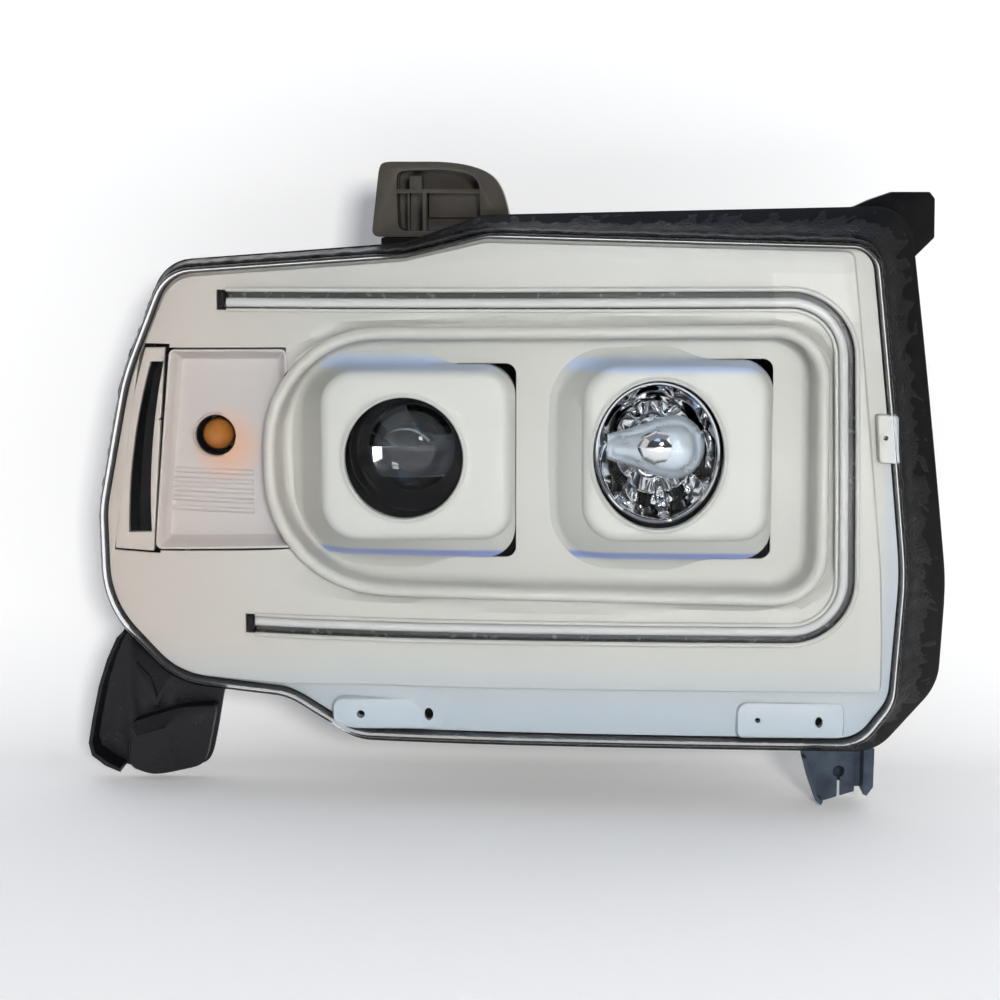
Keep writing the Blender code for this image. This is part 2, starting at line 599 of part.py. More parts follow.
def pod(name, face, base, y, axis, hole):
    """Rounded-square shroud around a beam: flared walls, a flat front and a round opening."""
    steps = 4
    count = 4 * (steps + 1)
    front = [
        swept(base, POD_BASE_DEPTH, steps),
        level(grown(face, 0.0006), y + 0.0040, steps),
        level(grown(face, -0.0006), y + 0.0010, steps),
        level(grown(face, -0.0030), y, steps),
        oval(axis, hole[0] + 0.0030, hole[1] + 0.0030, y, count),
        oval(axis, hole[0], hole[1], y + 0.0012, count),
        oval(axis, hole[0], hole[1], y + 0.0055, count),
    ]
    back = [
        swept(grown(base, -TRIM), POD_BASE_DEPTH, steps),
        level(grown(face, 0.0006 - TRIM), y + 0.0050, steps),
        level(grown(face, -0.0045), y + TRIM, steps),
        oval(axis, hole[0] + TRIM, hole[1] + TRIM, y + TRIM, count),
        oval(axis, hole[0] + TRIM, hole[1] + TRIM, y + 0.0055, count),
    ]
    return loft(name, front + list(reversed(back)), "silver trim", round_section=True)


def turn_reflector():
    """Shallow pocket behind the turn lamp, with a bulb hole and flutes below it."""
    rim = [(x, z, 0.004) for x, z in ((-0.2295, 0.0795), (-0.150, 0.0815), (-0.146, -0.0485), (-0.2425, -0.0545))]
    depth = TURN_POCKET_DEPTH
    centre = (-0.192, 0.012)
    outside = [swept(grown(rim, by), d, 2) for by, d in ((0.0, 0.0004), (-0.0008, depth + TRIM - 0.002), (-0.0022, depth + TRIM))]
    inside = [swept(grown(rim, by), d, 2) for by, d in ((-TRIM, 0.0004), (-TRIM - 0.0008, depth - 0.002), (-TRIM - 0.0028, depth))]
    outside.append(shrunk(outside[2], 0.5, centre, depth + TRIM))
    inside.append(shrunk(inside[2], 0.5, centre, depth))
    obj = shell("turn_reflector", outside, inside, "silver trim")
    for i in range(5):
        join(obj, flute(f"flute_{i}", -0.0040 - 0.0062 * i))
    cut(obj, rod("turn_hole", TURN_AXIS, TURN_HOLE_RADIUS, 0.02, 0.12))
    return cut(obj, prism("turn_rim_clearance", rounded(grown(TRAY_RIM, 0.0006), TRAY_STEPS), -0.1, 0.3))


def flute(name, z):
    """One long ridge on the turn pocket's floor."""
    section = ((-0.0018, 0.0006), (0.0, -0.0016), (0.0018, 0.0006))
    rings = []
    for x in (-0.234, -0.216, -0.198, -0.176):
        depth = face_depth(x, z) + TURN_POCKET_DEPTH
        rings.append([Vector((x, depth + d, z + s)) for s, d in section])
    return loft(name, rings, None)


def side_marker_frame():
    """Slim frame outboard of the turn pocket, with the long dark slot of the side marker."""
    obj = slab("side_marker_frame", 0.0004, 0.0056, "silver trim", columns=16)
    keep(obj, prism("slot_frame_outline", [(x, z) for x, z in SLOT_FRAME], -0.1, 0.3))
    return cut(obj, prism("slot_cut", SLOT, -0.1, 0.3))


def side_marker_well():
    """Dark box behind the slot, open to the slot and to the outboard side."""
    outer = [
        (-0.2455, 0.0722), (-0.2335, 0.0722), (-0.2455, -0.0560), (-0.2330, -0.0590), (-0.2330, -0.0770),
        (-0.2580, -0.0770), (-0.2655, -0.0560),
    ]
    obj = prism("side_marker_well", outer, 0.0724, 0.1060, "black plastic")
    inner = grown([(x, z, 0.0) for x, z in outer], -0.0018)
    cut(obj, prism("well_hollow", [corner[:2] for corner in inner], 0.05, 0.1042))
    cut(obj, box("well_side_window", (-0.2800, 0.0800, -0.0740), (-0.2500, 0.1000, -0.0590)))
    return cut(obj, rod("well_bulb_hole", SIDE_AXIS, 0.0062, 0.09, 0.12, vertices=12))


def side_reflex():
    """Amber retro-reflector inside the outboard skirt of the lens."""
    outer = [p for p in rounded(grown(FACE, -0.0012)) if p.x < -0.2 and -0.085 < p.y < 0.062]
    outer.sort(key=lambda p: p.y)
    inner = [p + Vector((0.0030, 0.0)) for p in outer]
    rings = []
    for a, b in zip(outer, inner):
        corners = ((a, 0.0135), (b, 0.0135), (b, CHANNEL_FRONT + 0.001), (a, CHANNEL_FRONT + 0.001))
        rings.append([Vector((p.x, face_depth(p.x, p.y) + d, p.y)) for p, d in corners])
    return loft("side_reflex", rings, "amber glass")


# ---------------------------------------------------------------- brackets and fasteners
def upper_tower_bracket():
    """Arched tower over the top edge, hollow at the front with ribs, and a bolt hole through its top."""
    base = 0.1530 + GAP
    outline = [
        (-0.0972, base), (-0.0918, 0.1995), (-0.0885, 0.2025), (-0.0520, 0.2025), (-0.0400, 0.2015), (-0.0300, 0.1995),
        (-0.0220, 0.1965), (-0.0155, 0.1920), (-0.0110, 0.1850), (-0.0080, 0.1760), (-0.0058, 0.1660), (-0.0048, base),
    ]
    obj = prism("upper_tower_bracket", outline, 0.0685, 0.0985, "smoked plastic")
    foot = base + 0.004
    pocket = [
        (-0.0795, foot), (-0.0805, 0.1930), (-0.0780, 0.1965), (-0.0500, 0.1975), (-0.0330, 0.1950), (-0.0260, 0.1900), (-0.0245, foot),
    ]
    left = [(-0.0942, foot), (-0.0893, 0.1950), (-0.0835, 0.1950), (-0.0820, foot)]
    right = [(-0.0220, foot), (-0.0232, 0.1890), (-0.0180, 0.1880), (-0.0132, 0.1810), (-0.0088, 0.1680), (-0.0078, foot)]
    cut(obj, prism("tower_pocket", pocket, 0.04, 0.0950))
    cut(obj, prism("tower_left_hollow", left, 0.0715, 0.12))
    cut(obj, prism("tower_right_hollow", right, 0.0715, 0.12))
    join(obj, box("tower_rib", (-0.0634, 0.0710, base + 0.001), (-0.0610, 0.0970, 0.1830)))
    join(obj, box("tower_shelf", (-0.0810, 0.0710, 0.1820), (-0.0230, 0.0970, 0.1846)))
    join(obj, box("tower_foot", (-0.0600, 0.0959, 0.1405), (-0.0360, 0.0985, 0.1580)))
    cut(obj, rod("tower_screw_hole", TOWER_SCREW, 0.0028, 0.09, 0.11, vertices=12))
    bolt = (-0.0790, 0.0820)
    hole = rod("tower_bolt_hole", (0.0, 0.0), 0.0040, -0.02, 0.02, vertices=16)
    place(hole, (bolt[0], bolt[1], 0.2030), None)
    hole.rotation_euler = (0.0, 0.0, 0.0)
    return cut(obj, hole)


def lower_outboard_bracket():
    """Large tab below the outboard corner: an arm up to its screw, a rolled outer edge and a raised foot."""
    outline = [
        (-0.2745, -0.1140), (-0.2790, -0.1225), (-0.2862, -0.1380), (-0.2926, -0.1573), (-0.2980, -0.1818), (-0.3010, -0.1985),
        (-0.2990, -0.2075), (-0.2895, -0.2150), (-0.2790, -0.2195), (-0.2600, -0.2245), (-0.2500, -0.2240), (-0.2260, -0.2190),
        (-0.2200, -0.2160), (-0.2170, -0.2100), (-0.2133, -0.1933), (-0.2085, -0.1660), (-0.2045, -0.1520), (-0.2075, -0.1462),
        (-0.2405, -0.1462),
    ]
    obj = prism("lower_outboard_bracket", outline, 0.1100, 0.1140, "black plastic")
    join(obj, box("bracket_step", (-0.2500, 0.1120, -0.1640), (-0.2060, 0.1284, -0.1490)))
    join(obj, box("bracket_arm", (-0.2500, MIDDLE_Y + GAP, -0.1620), (-0.2120, 0.1284, -0.1000)))
    lip = [
        (-0.2790, -0.1225), (-0.2862, -0.1380), (-0.2926, -0.1573), (-0.2980, -0.1818), (-0.3010, -0.1985), (-0.2990, -0.2075),
        (-0.2895, -0.2150), (-0.2790, -0.2195), (-0.2790, -0.2165), (-0.2880, -0.2121), (-0.2964, -0.2056), (-0.2982, -0.1985),
        (-0.2952, -0.1822), (-0.2899, -0.1580), (-0.2835, -0.1388), (-0.2764, -0.1236),
    ]
    join(obj, prism("rolled_edge", lip, 0.0880, 0.1130))
    foot = [
        (-0.2736, -0.1860), (-0.2740, -0.2175), (-0.2595, -0.2228), (-0.2505, -0.2224), (-0.2270, -0.2172), (-0.2218, -0.2144),
        (-0.2192, -0.2094), (-0.2155, -0.1926), (-0.2116, -0.1724), (-0.2375, -0.1745),
    ]
    join(obj, prism("raised_foot", foot, 0.0960, 0.1120))
    hollow = [
        (-0.2706, -0.1885), (-0.2708, -0.2145), (-0.2590, -0.2192), (-0.2285, -0.2136), (-0.2230, -0.2085), (-0.2190, -0.1925),
        (-0.2158, -0.1768), (-0.2375, -0.1782),
    ]
    cut(obj, prism("foot_hollow", hollow, 0.0995, 0.13))
    return cut(obj, rod("outboard_screw_hole", OUTBOARD_SCREW, 0.0028, 0.10, 0.14, vertices=12))


def lower_inboard_bracket():
    """Pressed bracket below the inboard corner: a plate with a bolt hole, a slot and a turned flange."""
    outline = [
        (0.1915, -0.1730), (0.1925, -0.1950), (0.1963, -0.2092), (0.2015, -0.2240), (0.2055, -0.2277), (0.2090, -0.2270), (0.2290, -0.2205), (0.2310, -0.1730),
    ]
    obj = prism("lower_inboard_bracket", outline, 0.0620, 0.0645, "blue grey steel")
    left = [(0.1925, -0.1950), (0.1963, -0.2092), (0.2015, -0.2240), (0.2055, -0.2277), (0.2070, -0.2250), (0.2035, -0.2225), (0.1988, -0.2085), (0.1950, -0.1950)]
    join(obj, prism("left_turn_up", left, 0.0520, 0.0635))
    join(obj, box("right_bridge", (0.2270, 0.0622, -0.2170), (0.2390, 0.0639, -0.1875)))
    right = [(0.2330, -0.1870), (0.2330, -0.2185), (0.2355, -0.2196), (0.2397, -0.2135), (0.2400, -0.1870)]
    join(obj, prism("right_turn_up", right, 0.0480, 0.0784))
    join(obj, box("back_leg", (0.2040, 0.0760, -0.2170), (0.2360, 0.0784, -0.1930)))
    join(obj, box("bolt_seat", (0.2070, 0.0640, -0.2160), (0.2265, 0.0650, -0.1880)))
    cut(obj, rod("inboard_bolt_hole", (0.2183, -0.2066), 0.0040, 0.04, 0.0700, vertices=16))
    cut(obj, box("inboard_slot", (0.2174, 0.05, -0.2350), (0.2194, 0.0700, -0.2080)))
    return cut(obj, rod("inboard_screw_hole", INBOARD_SCREW, 0.0028, 0.05, 0.08, vertices=12))


def screw(name, axis, front, back, head=0.0055, shank=0.0024):
    """Cross-head screw, its head at the rear."""
    neck = back - 0.0032
    profile = [(0.0, front), (shank, front + 0.001), (shank, neck), (head, neck), (head, back - 0.001), (head * 0.6, back), (0.0, back)]
    obj = turned(name, axis, profile, "zinc steel", steps=12)
    x, z = axis
    cross = 0.0032
    cut(obj, box(f"{name}_slot_a", (x - cross, back - 0.0012, z - 0.0005), (x + cross, back + 0.002, z + 0.0005)))
    return cut(obj, box(f"{name}_slot_b", (x - 0.0005, back - 0.0012, z - cross), (x + 0.0005, back + 0.002, z + cross)))


# ---------------------------------------------------------------- aiming carriage and beams
def carrier(frame):
    """Tilting frame that holds both beams: a plate with two ball sockets above and a foot below."""
    front, back = PIVOT_Y - CARRIER_THICKNESS / 2, PIVOT_Y + CARRIER_THICKNESS / 2
    outline = [
        (-0.120, 0.118), (0.146, 0.118), (0.146, 0.060), (0.138, -0.040), (0.045, -0.052), (0.026, -0.137),
        (-0.002, -0.137), (-0.016, -0.052), (-0.112, -0.040), (-0.120, 0.060),
    ]
    obj = prism("aim_carrier", outline, front, back, "black plastic", frame)
    cut(obj, rod("barrel_hole", LOW_AXIS, 0.0404, 0.05, 0.1, vertices=20, parent=frame))
    cut(obj, rod("bowl_hole", HIGH_AXIS, 0.0300, 0.05, 0.1, vertices=20, parent=frame))
    for side, x in PIVOT_XS.items():
        join(obj, rod(f"{side}_socket", (x, PIVOT_Z), 0.0092, PIVOT_Y - 0.0075, PIVOT_Y + 0.0065, vertices=12, parent=frame))
    join(obj, rod("foot_socket", ADJUSTER_AXIS, 0.0082, PIVOT_Y - 0.0040, PIVOT_Y + 0.0040, vertices=12, parent=frame))
    for side, x in PIVOT_XS.items():
        cut(obj, rod(f"{side}_socket_bore", (x, PIVOT_Z), 0.0060, PIVOT_Y - 0.0060, 0.1, vertices=12, parent=frame))
    return cut(obj, rod("foot_bore", ADJUSTER_AXIS, 0.0062, 0.06, 0.1, vertices=12, parent=frame))


def pivot_stud(side, x):
    """Ball stud from the housing into the carrier's socket."""
    ball = [
        (BALL_RADIUS * math.sin(a), PIVOT_Y - BALL_RADIUS * math.cos(a))
        for a in (math.radians(30 * k) for k in range(6))
    ]
    root = MIDDLE_Y - 0.0120 - GAP
    profile = ball + [(0.0028, PIVOT_Y + 0.0075), (0.0028, root - 0.003), (0.0055, root - 0.003), (0.0055, root), (0.0, root)]
    return turned(f"pivot_stud_{side}", (x, PIVOT_Z), profile, "zinc steel", steps=10)


def adjuster_nut(frame):
    """Nylon nut in the carrier's foot, run along by the screw."""
    profile = [
        (0.0040, PIVOT_Y - 0.0075), (0.0085, PIVOT_Y - 0.0075), (0.0085, PIVOT_Y - 0.0044), (0.0058, PIVOT_Y - 0.0044),
        (0.0058, PIVOT_Y + 0.0060), (0.0040, PIVOT_Y + 0.0060),
    ]
    return turned("adjuster_nut", ADJUSTER_AXIS, profile, "nylon", steps=12, ring=True, parent=frame)


def adjuster_screw(frame):
    """Aiming screw: a long shank through the nut and a knurled head with a cross slot behind the wall."""
    head = MIDDLE_Y + 0.003 + GAP
    profile = [
        (0.0, 0.0560), (0.0025, 0.0575), (0.0032, 0.0600), (0.0032, 0.1080), (0.0050, 0.1090),
        (0.0050, head), (0.0110, head), (0.0110, head + 0.0090), (0.0095, head + 0.0105), (0.0, head + 0.0105),
    ]
    obj = turned("adjuster_screw", ADJUSTER_AXIS, profile, "zinc steel", steps=16, parent=frame)
    x, z = ADJUSTER_AXIS
    back = head + 0.0105
    for i in range(8):
        angle = math.tau * i / 8
        notch = (x + 0.0114 * math.cos(angle), z + 0.0114 * math.sin(angle))
        cut(obj, rod(f"knurl_{i}", notch, 0.0020, head - 0.002, back + 0.002, vertices=6, parent=frame))
    cut(obj, box("driver_slot_a", (x - 0.0045, back - 0.004, z - 0.0008), (x + 0.0045, back + 0.01, z + 0.0008), parent=frame))
    return cut(obj, box("driver_slot_b", (x - 0.0008, back - 0.004, z - 0.0045), (x + 0.0008, back + 0.01, z + 0.0045), parent=frame))


def projector(frame):
    """Low beam: aspheric lens, its shroud, the barrel, the cut-off shield and the bowl."""
    lens = [(0.0, 0.0400), (0.0100, 0.0408), (0.0190, 0.0434), (0.0260, 0.0470), (0.0312, 0.0524), (0.0318, 0.0560), (0.0, 0.0560)]
    turned("projector_lens", LOW_AXIS, lens, "optical glass", steps=24, parent=frame)
    shroud = [
        (0.0385, 0.0300), (0.0405, 0.0300), (0.0355, 0.0420), (0.0355, 0.0590), (0.0290, 0.0590), (0.0290, 0.0566),
        (0.0324, 0.0566), (0.0324, 0.0510), (0.0285, 0.0470), (0.0285, 0.0450),
    ]
    turned("projector_shroud", LOW_AXIS, shroud, "black plastic", steps=24, ring=True, parent=frame)
    barrel = [
        (0.0350, 0.0594), (0.0370, 0.0680), (0.0394, 0.0700), (0.0394, 0.0820), (0.0460, 0.0822), (0.0460, 0.0850),
        (0.0350, 0.0850), (0.0350, 0.0720), (0.0310, 0.0594),
    ]
    turned("projector_barrel", LOW_AXIS, barrel, "cast aluminium", steps=20, ring=True, parent=frame)
    x, z = LOW_AXIS
    shield = box("cutoff_shield", (x - 0.030, 0.0760, z - 0.0160), (x + 0.030, 0.0775, z - 0.0010), "black plastic", frame)
    step = prism("cutoff_step", [(x - 0.05, z - 0.0030), (x - 0.05, z + 0.01), (x + 0.004, z + 0.01), (x, z - 0.0030)], 0.07, 0.09, parent=frame)
    cut(shield, step)
    outer = [(0.0450, 0.0854), (0.0450, 0.0880), (0.0400, 0.0890), (0.0370, 0.1080), (0.0270, 0.1310), (0.0170, 0.1400), (0.0170, 0.1480)]
    inner = [(0.0130, 0.1480), (0.0130, 0.1385), (0.0250, 0.1290), (0.0345, 0.1065), (0.0372, 0.0854)]
    turned("projector_bowl", LOW_AXIS, outer + inner, "bright chrome", steps=20, ring=True, parent=frame)


def high_beam_reflector(frame):
    """High beam: an oval parabolic bowl with a rolled rim and a neck for its bulb."""
    count, wall = 20, 0.0020
    shares = ((1.0, 0.0250), (0.93, 0.0340), (0.83, 0.0470), (0.68, 0.0600), (0.50, 0.0690), (0.33, 0.0735))
    inside = [oval(HIGH_AXIS, 0.0385 * s, 0.0440 * s, y, count) for s, y in shares]
    outside = [oval(HIGH_AXIS, 0.0385 * s + wall, 0.0440 * s + wall, y + 0.3 * wall, count) for s, y in shares]
    neck_y = 0.0900
    inside += [oval(HIGH_AXIS, 0.0110, 0.0110, y, count) for y in (0.0760, neck_y)]
    outside += [oval(HIGH_AXIS, 0.0140, 0.0140, y, count) for y in (0.0790, neck_y)]
    return loft("high_beam_reflector", inside + list(reversed(outside)), "bright chrome", True, frame)


def bulb_shield(frame):
    """Bright cap shaped like a bulb on its side: a dome before the bulb and a neck that runs outboard to the bowl."""
    x, z = HIGH_AXIS
    stations = [
        (-0.0322, 0.0080, 0.0040), (-0.0290, 0.0094, 0.0062), (-0.0210, 0.0118, 0.0085), (-0.0110, 0.0150, 0.0115),
        (0.0000, 0.0188, 0.0145), (0.0120, 0.0210, 0.0160), (0.0210, 0.0184, 0.0142), (0.0275, 0.0122, 0.0098), (0.0310, 0.0050, 0.0040),
    ]
    wall, back, lift, pieces = 0.0012, 0.0400, 0.0022, 6
    angles = [math.pi * k / pieces for k in range(pieces + 1)]
    rings = []
    for i, (along, half, rise) in enumerate(stations):
        hollow = 0.0 if i in (0, len(stations) - 1) else rise - wall
        section = [(half * math.cos(a), rise * math.sin(a)) for a in angles]
        section += [((half - wall) * math.cos(a), hollow * math.sin(a)) for a in reversed(angles)]
        rings.append([Vector((x + along, back - r, z + lift + h)) for h, r in section])
    return loft("high_beam_bulb_shield", rings, "bright chrome", parent=frame)


def bulb(name, axis, tip, seat, radius, collar, frame):
    """Halogen bulb: a glass capsule and a base with a connector, locked by an eighth of a turn."""
    glass = [(0.0, tip), (radius * 0.6, tip + 0.0012), (radius, tip + 0.0045), (radius, seat - 0.0030), (0.0, seat - 0.0030)]
    turned(f"{name}_bulb_glass", axis, glass, "optical glass", steps=12, parent=frame)
    base = [
        (0.0, seat - 0.0030 + GAP), (collar * 0.7, seat - 0.0030 + GAP), (collar * 0.7, seat), (collar, seat), (collar, seat + 0.0040),
        (collar + 0.0040, seat + 0.0040), (collar + 0.0040, seat + 0.0070), (0.0090, seat + 0.0090), (0.0090, seat + 0.0170), (0.0, seat + 0.0170),
    ]
    obj = turned(f"{name}_bulb_base", axis, base, "black plastic", steps=16, parent=frame)
    x, z = axis
    return join(obj, box(f"{name}_plug", (x - 0.0075, seat + 0.0080, z - 0.0200), (x + 0.0075, seat + 0.0165, z + 0.0010), parent=frame))


# ---------------------------------------------------------------- turn and side sockets, caps
def socket(name, axis, plug, flange, bulb_radius, tip, seal_frame, twist_frame):
    """Twist-lock lamp holder: a seal that seats on the housing, the holder and its wedge bulb."""
    face = MIDDLE_Y + 0.004 + GAP
    seal = [(plug + GAP, face), (flange, face), (flange, face + 0.0022), (plug + GAP, face + 0.0022)]
    turned(f"{name}_socket_seal", axis, seal, "black rubber", steps=16, ring=True, parent=seal_frame)
    rear = face + 0.0022 + GAP
    holder = [
        (0.0, MIDDLE_Y - 0.0090), (plug - 0.0022, MIDDLE_Y - 0.0090), (plug - 0.0004, MIDDLE_Y - 0.0070), (plug - 0.0004, rear),
        (flange + 0.0015, rear), (flange + 0.0015, rear + 0.0030), (plug * 0.80, rear + 0.0042), (plug * 0.80, rear + 0.0150), (0.0, rear + 0.0150),
    ]
    obj = turned(f"{name}_socket", axis, holder, "nylon", steps=16, parent=twist_frame)
    x, z = axis
    grip = flange + 0.0040
    join(obj, box(f"{name}_grip", (x - grip, rear + 0.0010, z - 0.0016), (x + grip, rear + 0.0100, z + 0.0016), parent=twist_frame))
    seat = MIDDLE_Y - 0.0090 - GAP
    glass = [
        (0.0, tip), (bulb_radius * 0.55, tip + 0.0010), (bulb_radius * 0.90, tip + 0.0040), (bulb_radius, tip + 0.0090),
        (bulb_radius, tip + (seat - tip) * 0.55), (bulb_radius * 0.70, seat - 0.0060), (bulb_radius * 0.65, seat), (0.0, seat),
    ]
    turned(f"{name}_bulb", axis, glass, "amber glass", steps=14, parent=twist_frame)


def access_cap(name, axis, seal_frame, twist_frame):
    """Rear access cap: a seal on the neck's lip and a round cap with a finger bar across it."""
    lip = REAR_Y + NECK_LENGTH + GAP
    inner, outer = CAP_NECK_RADIUS - 0.0045, CAP_NECK_RADIUS + 0.0004
    seal = [(inner, lip), (outer, lip), (outer, lip + 0.0024), (inner, lip + 0.0024)]
    turned(f"{name}_cap_seal", axis, seal, "black rubber", steps=20, ring=True, parent=seal_frame)
    rear = lip + 0.0024 + GAP
    plug = inner - 0.0006
    profile = [
        (0.0, rear + 0.0008), (plug - 0.0022, rear + 0.0008), (plug - 0.0022, REAR_Y + 0.0015), (plug, REAR_Y + 0.0015), (plug, rear),
        (CAP_NECK_RADIUS + 0.0020, rear), (CAP_NECK_RADIUS + 0.0020, rear + 0.0030), (0.0400, rear + 0.0050), (0.0, rear + 0.0050),
    ]
    obj = turned(f"{name}_cap", axis, profile, "black plastic", steps=20, parent=twist_frame)
    x, z = axis
    return join(obj, box(f"{name}_finger_bar", (x - 0.0340, rear + 0.0040, z - 0.0035), (x + 0.0340, rear + 0.0170, z + 0.0035), parent=twist_frame, bevel=0.0012))


# ---------------------------------------------------------------- rear fittings
def light_bar_driver():
    """Sealed driver box for the light bar's diodes, on the deep box's rear wall between the caps."""
    y = REAR_Y + GAP
    obj = box("light_bar_driver", (0.1200, y, -0.0980), (0.1620, y + 0.0160, -0.0560), "cast aluminium", bevel=0.002)
    for i in range(5):
        x = 0.1245 + 0.0083 * i
        cut(obj, box(f"driver_groove_{i}", (x - 0.0015, y + 0.0120, -0.1100), (x + 0.0015, y + 0.03, -0.0450)))
    return obj


def harness_connector():
    """Main electrical inlet: a shrouded socket with blades, on the rear wall."""
    y = REAR_Y + GAP
    obj = box("harness_connector", (-0.0460, y, -0.0960), (0.0060, y + 0.0240, -0.0660), "black plastic", bevel=0.0015)
    cut(obj, box("connector_mouth", (-0.0435, y + 0.0060, -0.0935), (0.0035, y + 0.0400, -0.0685)))
    for row in range(2):
        for column in range(4):
            x, z = -0.0375 + 0.0117 * column, -0.0865 + 0.0110 * row
            join(obj, box(f"blade_{row}_{column}", (x - 0.0004, y + 0.0050, z - 0.0014), (x + 0.0004, y + 0.0180, z + 0.0014)))
    return obj


def breather(name, x, z):
    """Vent elbow that lets the housing breathe: a stub and a mouth that faces down."""
    y = REAR_Y + GAP
    obj = rod(name, (x, z), 0.0055, y, y + 0.0140, "black rubber", vertices=12)
    return join(obj, box(f"{name}_mouth", (x - 0.0048, y + 0.0060, z - 0.0150), (x + 0.0048, y + 0.0138, z - 0.0010)))


# ---------------------------------------------------------------- assembly
def build():
    outer_lens()
    lens_seal()
    housing()
    bezel()
    recess_panel()
    light_bar_channel()
    light_bar_guide()
    light_bar_board("light_bar_board_upper", BAR_CORNERS[0][0], BAR_CORNERS[0][1])
    light_bar_board("light_bar_board_lower", BAR_CORNERS[3][0], BAR_CORNERS[3][1])
    pod("low_beam_pod", LOW_POD_FACE, LOW_POD_BASE, LOW_POD_Y, LOW_HOLE_CENTRE, LOW_HOLE)
    pod("high_beam_pod", HIGH_POD_FACE, HIGH_POD_BASE, HIGH_POD_Y, HIGH_AXIS, HIGH_HOLE)
    turn_reflector()
    side_marker_frame()
    side_marker_well()
    side_reflex()

    upper_tower_bracket()
    lower_outboard_bracket()
    lower_inboard_bracket()
    screw("upper_tower_screw", TOWER_SCREW, 0.0850, 0.0985 + GAP + 0.0032)
    screw("lower_outboard_screw", OUTBOARD_SCREW, MIDDLE_Y - 0.0070, 0.1284 + GAP + 0.0032)
    screw("lower_inboard_screw", INBOARD_SCREW, 0.0565, 0.0645 + GAP + 0.0032, head=0.0050, shank=0.0022)

    tilt = empty("aim_pivot", (0.0, PIVOT_Y, PIVOT_Z), LAMP)
    carrier(tilt)
    adjuster_nut(tilt)
    projector(tilt)
    high_beam_reflector(tilt)
    bulb_shield(tilt)
    for side, x in PIVOT_XS.items():
        pivot_stud(side, x)
    adjuster_screw(empty("adjuster_axis", (ADJUSTER_AXIS[0], 0.0, ADJUSTER_AXIS[1]), LAMP))

    low_twist = empty("low_bulb_axis", (LOW_AXIS[0], 0.0, LOW_AXIS[1]), tilt)
    high_twist = empty("high_bulb_axis", (HIGH_AXIS[0], 0.0, HIGH_AXIS[1]), tilt)
    bulb("low_beam", LOW_AXIS, 0.1060, 0.1484, 0.0062, 0.0150, low_twist)
    bulb("high_beam", HIGH_AXIS, 0.0420, 0.0904, 0.0062, 0.0135, high_twist)

    for name, axis, plug, flange, radius, tip in (
        ("turn", TURN_AXIS, 0.0146, 0.0185, 0.0106, 0.0560),
        ("side_marker", SIDE_AXIS, 0.0086, 0.0116, 0.0048, 0.0900),
    ):
        pull = empty(f"{name}_socket_pull", (axis[0], 0.0, axis[1]), LAMP)
        twist = empty(f"{name}_socket_twist", (axis[0], 0.0, axis[1]), pull)
        socket(name, axis, plug, flange, radius, tip, pull, twist)
    for name, axis in (("low_beam", LOW_AXIS), ("high_beam", HIGH_AXIS)):
        pull = empty(f"{name}_cap_pull", (axis[0], 0.0, axis[1]), LAMP)
        twist = empty(f"{name}_cap_twist", (axis[0], 0.0, axis[1]), pull)
        access_cap(name, axis, pull, twist)

    light_bar_driver()
    harness_connector()
    breather("breather_outboard", -0.124, -0.060)
    breather("breather_inboard", 0.158, 0.070)


build()
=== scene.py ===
"""Looks for the car headlight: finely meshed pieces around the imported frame, studio and camera."""

import math
import random

import bmesh
import bpy
from mathutils import Matrix, Vector, noise


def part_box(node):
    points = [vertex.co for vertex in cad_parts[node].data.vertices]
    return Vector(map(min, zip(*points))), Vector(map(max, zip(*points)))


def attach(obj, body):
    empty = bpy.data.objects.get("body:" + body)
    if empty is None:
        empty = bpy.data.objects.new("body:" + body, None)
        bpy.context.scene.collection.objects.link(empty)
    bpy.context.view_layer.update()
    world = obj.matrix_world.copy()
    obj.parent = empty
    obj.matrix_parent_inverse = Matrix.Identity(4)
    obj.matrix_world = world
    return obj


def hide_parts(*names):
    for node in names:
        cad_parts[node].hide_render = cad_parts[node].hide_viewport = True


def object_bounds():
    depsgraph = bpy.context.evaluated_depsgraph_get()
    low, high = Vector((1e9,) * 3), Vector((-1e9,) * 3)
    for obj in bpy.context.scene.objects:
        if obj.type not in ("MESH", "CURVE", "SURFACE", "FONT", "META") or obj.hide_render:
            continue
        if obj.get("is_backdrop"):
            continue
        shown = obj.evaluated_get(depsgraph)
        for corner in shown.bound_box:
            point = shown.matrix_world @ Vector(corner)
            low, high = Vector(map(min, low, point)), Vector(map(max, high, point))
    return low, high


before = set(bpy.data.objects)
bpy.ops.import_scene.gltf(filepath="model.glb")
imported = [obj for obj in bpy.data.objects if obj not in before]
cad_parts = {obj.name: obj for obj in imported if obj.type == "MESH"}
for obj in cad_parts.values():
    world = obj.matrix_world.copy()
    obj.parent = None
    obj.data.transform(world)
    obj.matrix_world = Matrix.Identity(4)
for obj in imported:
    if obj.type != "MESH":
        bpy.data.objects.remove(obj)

CAD_LOW, CAD_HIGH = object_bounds()
SCENE = bpy.context.scene
random.seed(7)

# ---------------------------------------------------------------- datum and outlines
# Everything below is measured from the lamp's datum, which lies on its face. The turn bulb says where that is.
TURN_AXIS = (-0.201, 0.0224)
TURN_TIP_DEPTH = 0.056
_lo, _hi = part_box("turn_bulb")
DATUM = Vector(((_lo.x + _hi.x) / 2 - TURN_AXIS[0], _lo.y - TURN_TIP_DEPTH, (_lo.z + _hi.z) / 2 - TURN_AXIS[1]))


def centre_of(node):
    """A node's middle as (x, z) from the datum."""
    low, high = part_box(node)
    middle = (low + high) / 2 - DATUM
    return (middle.x, middle.z)


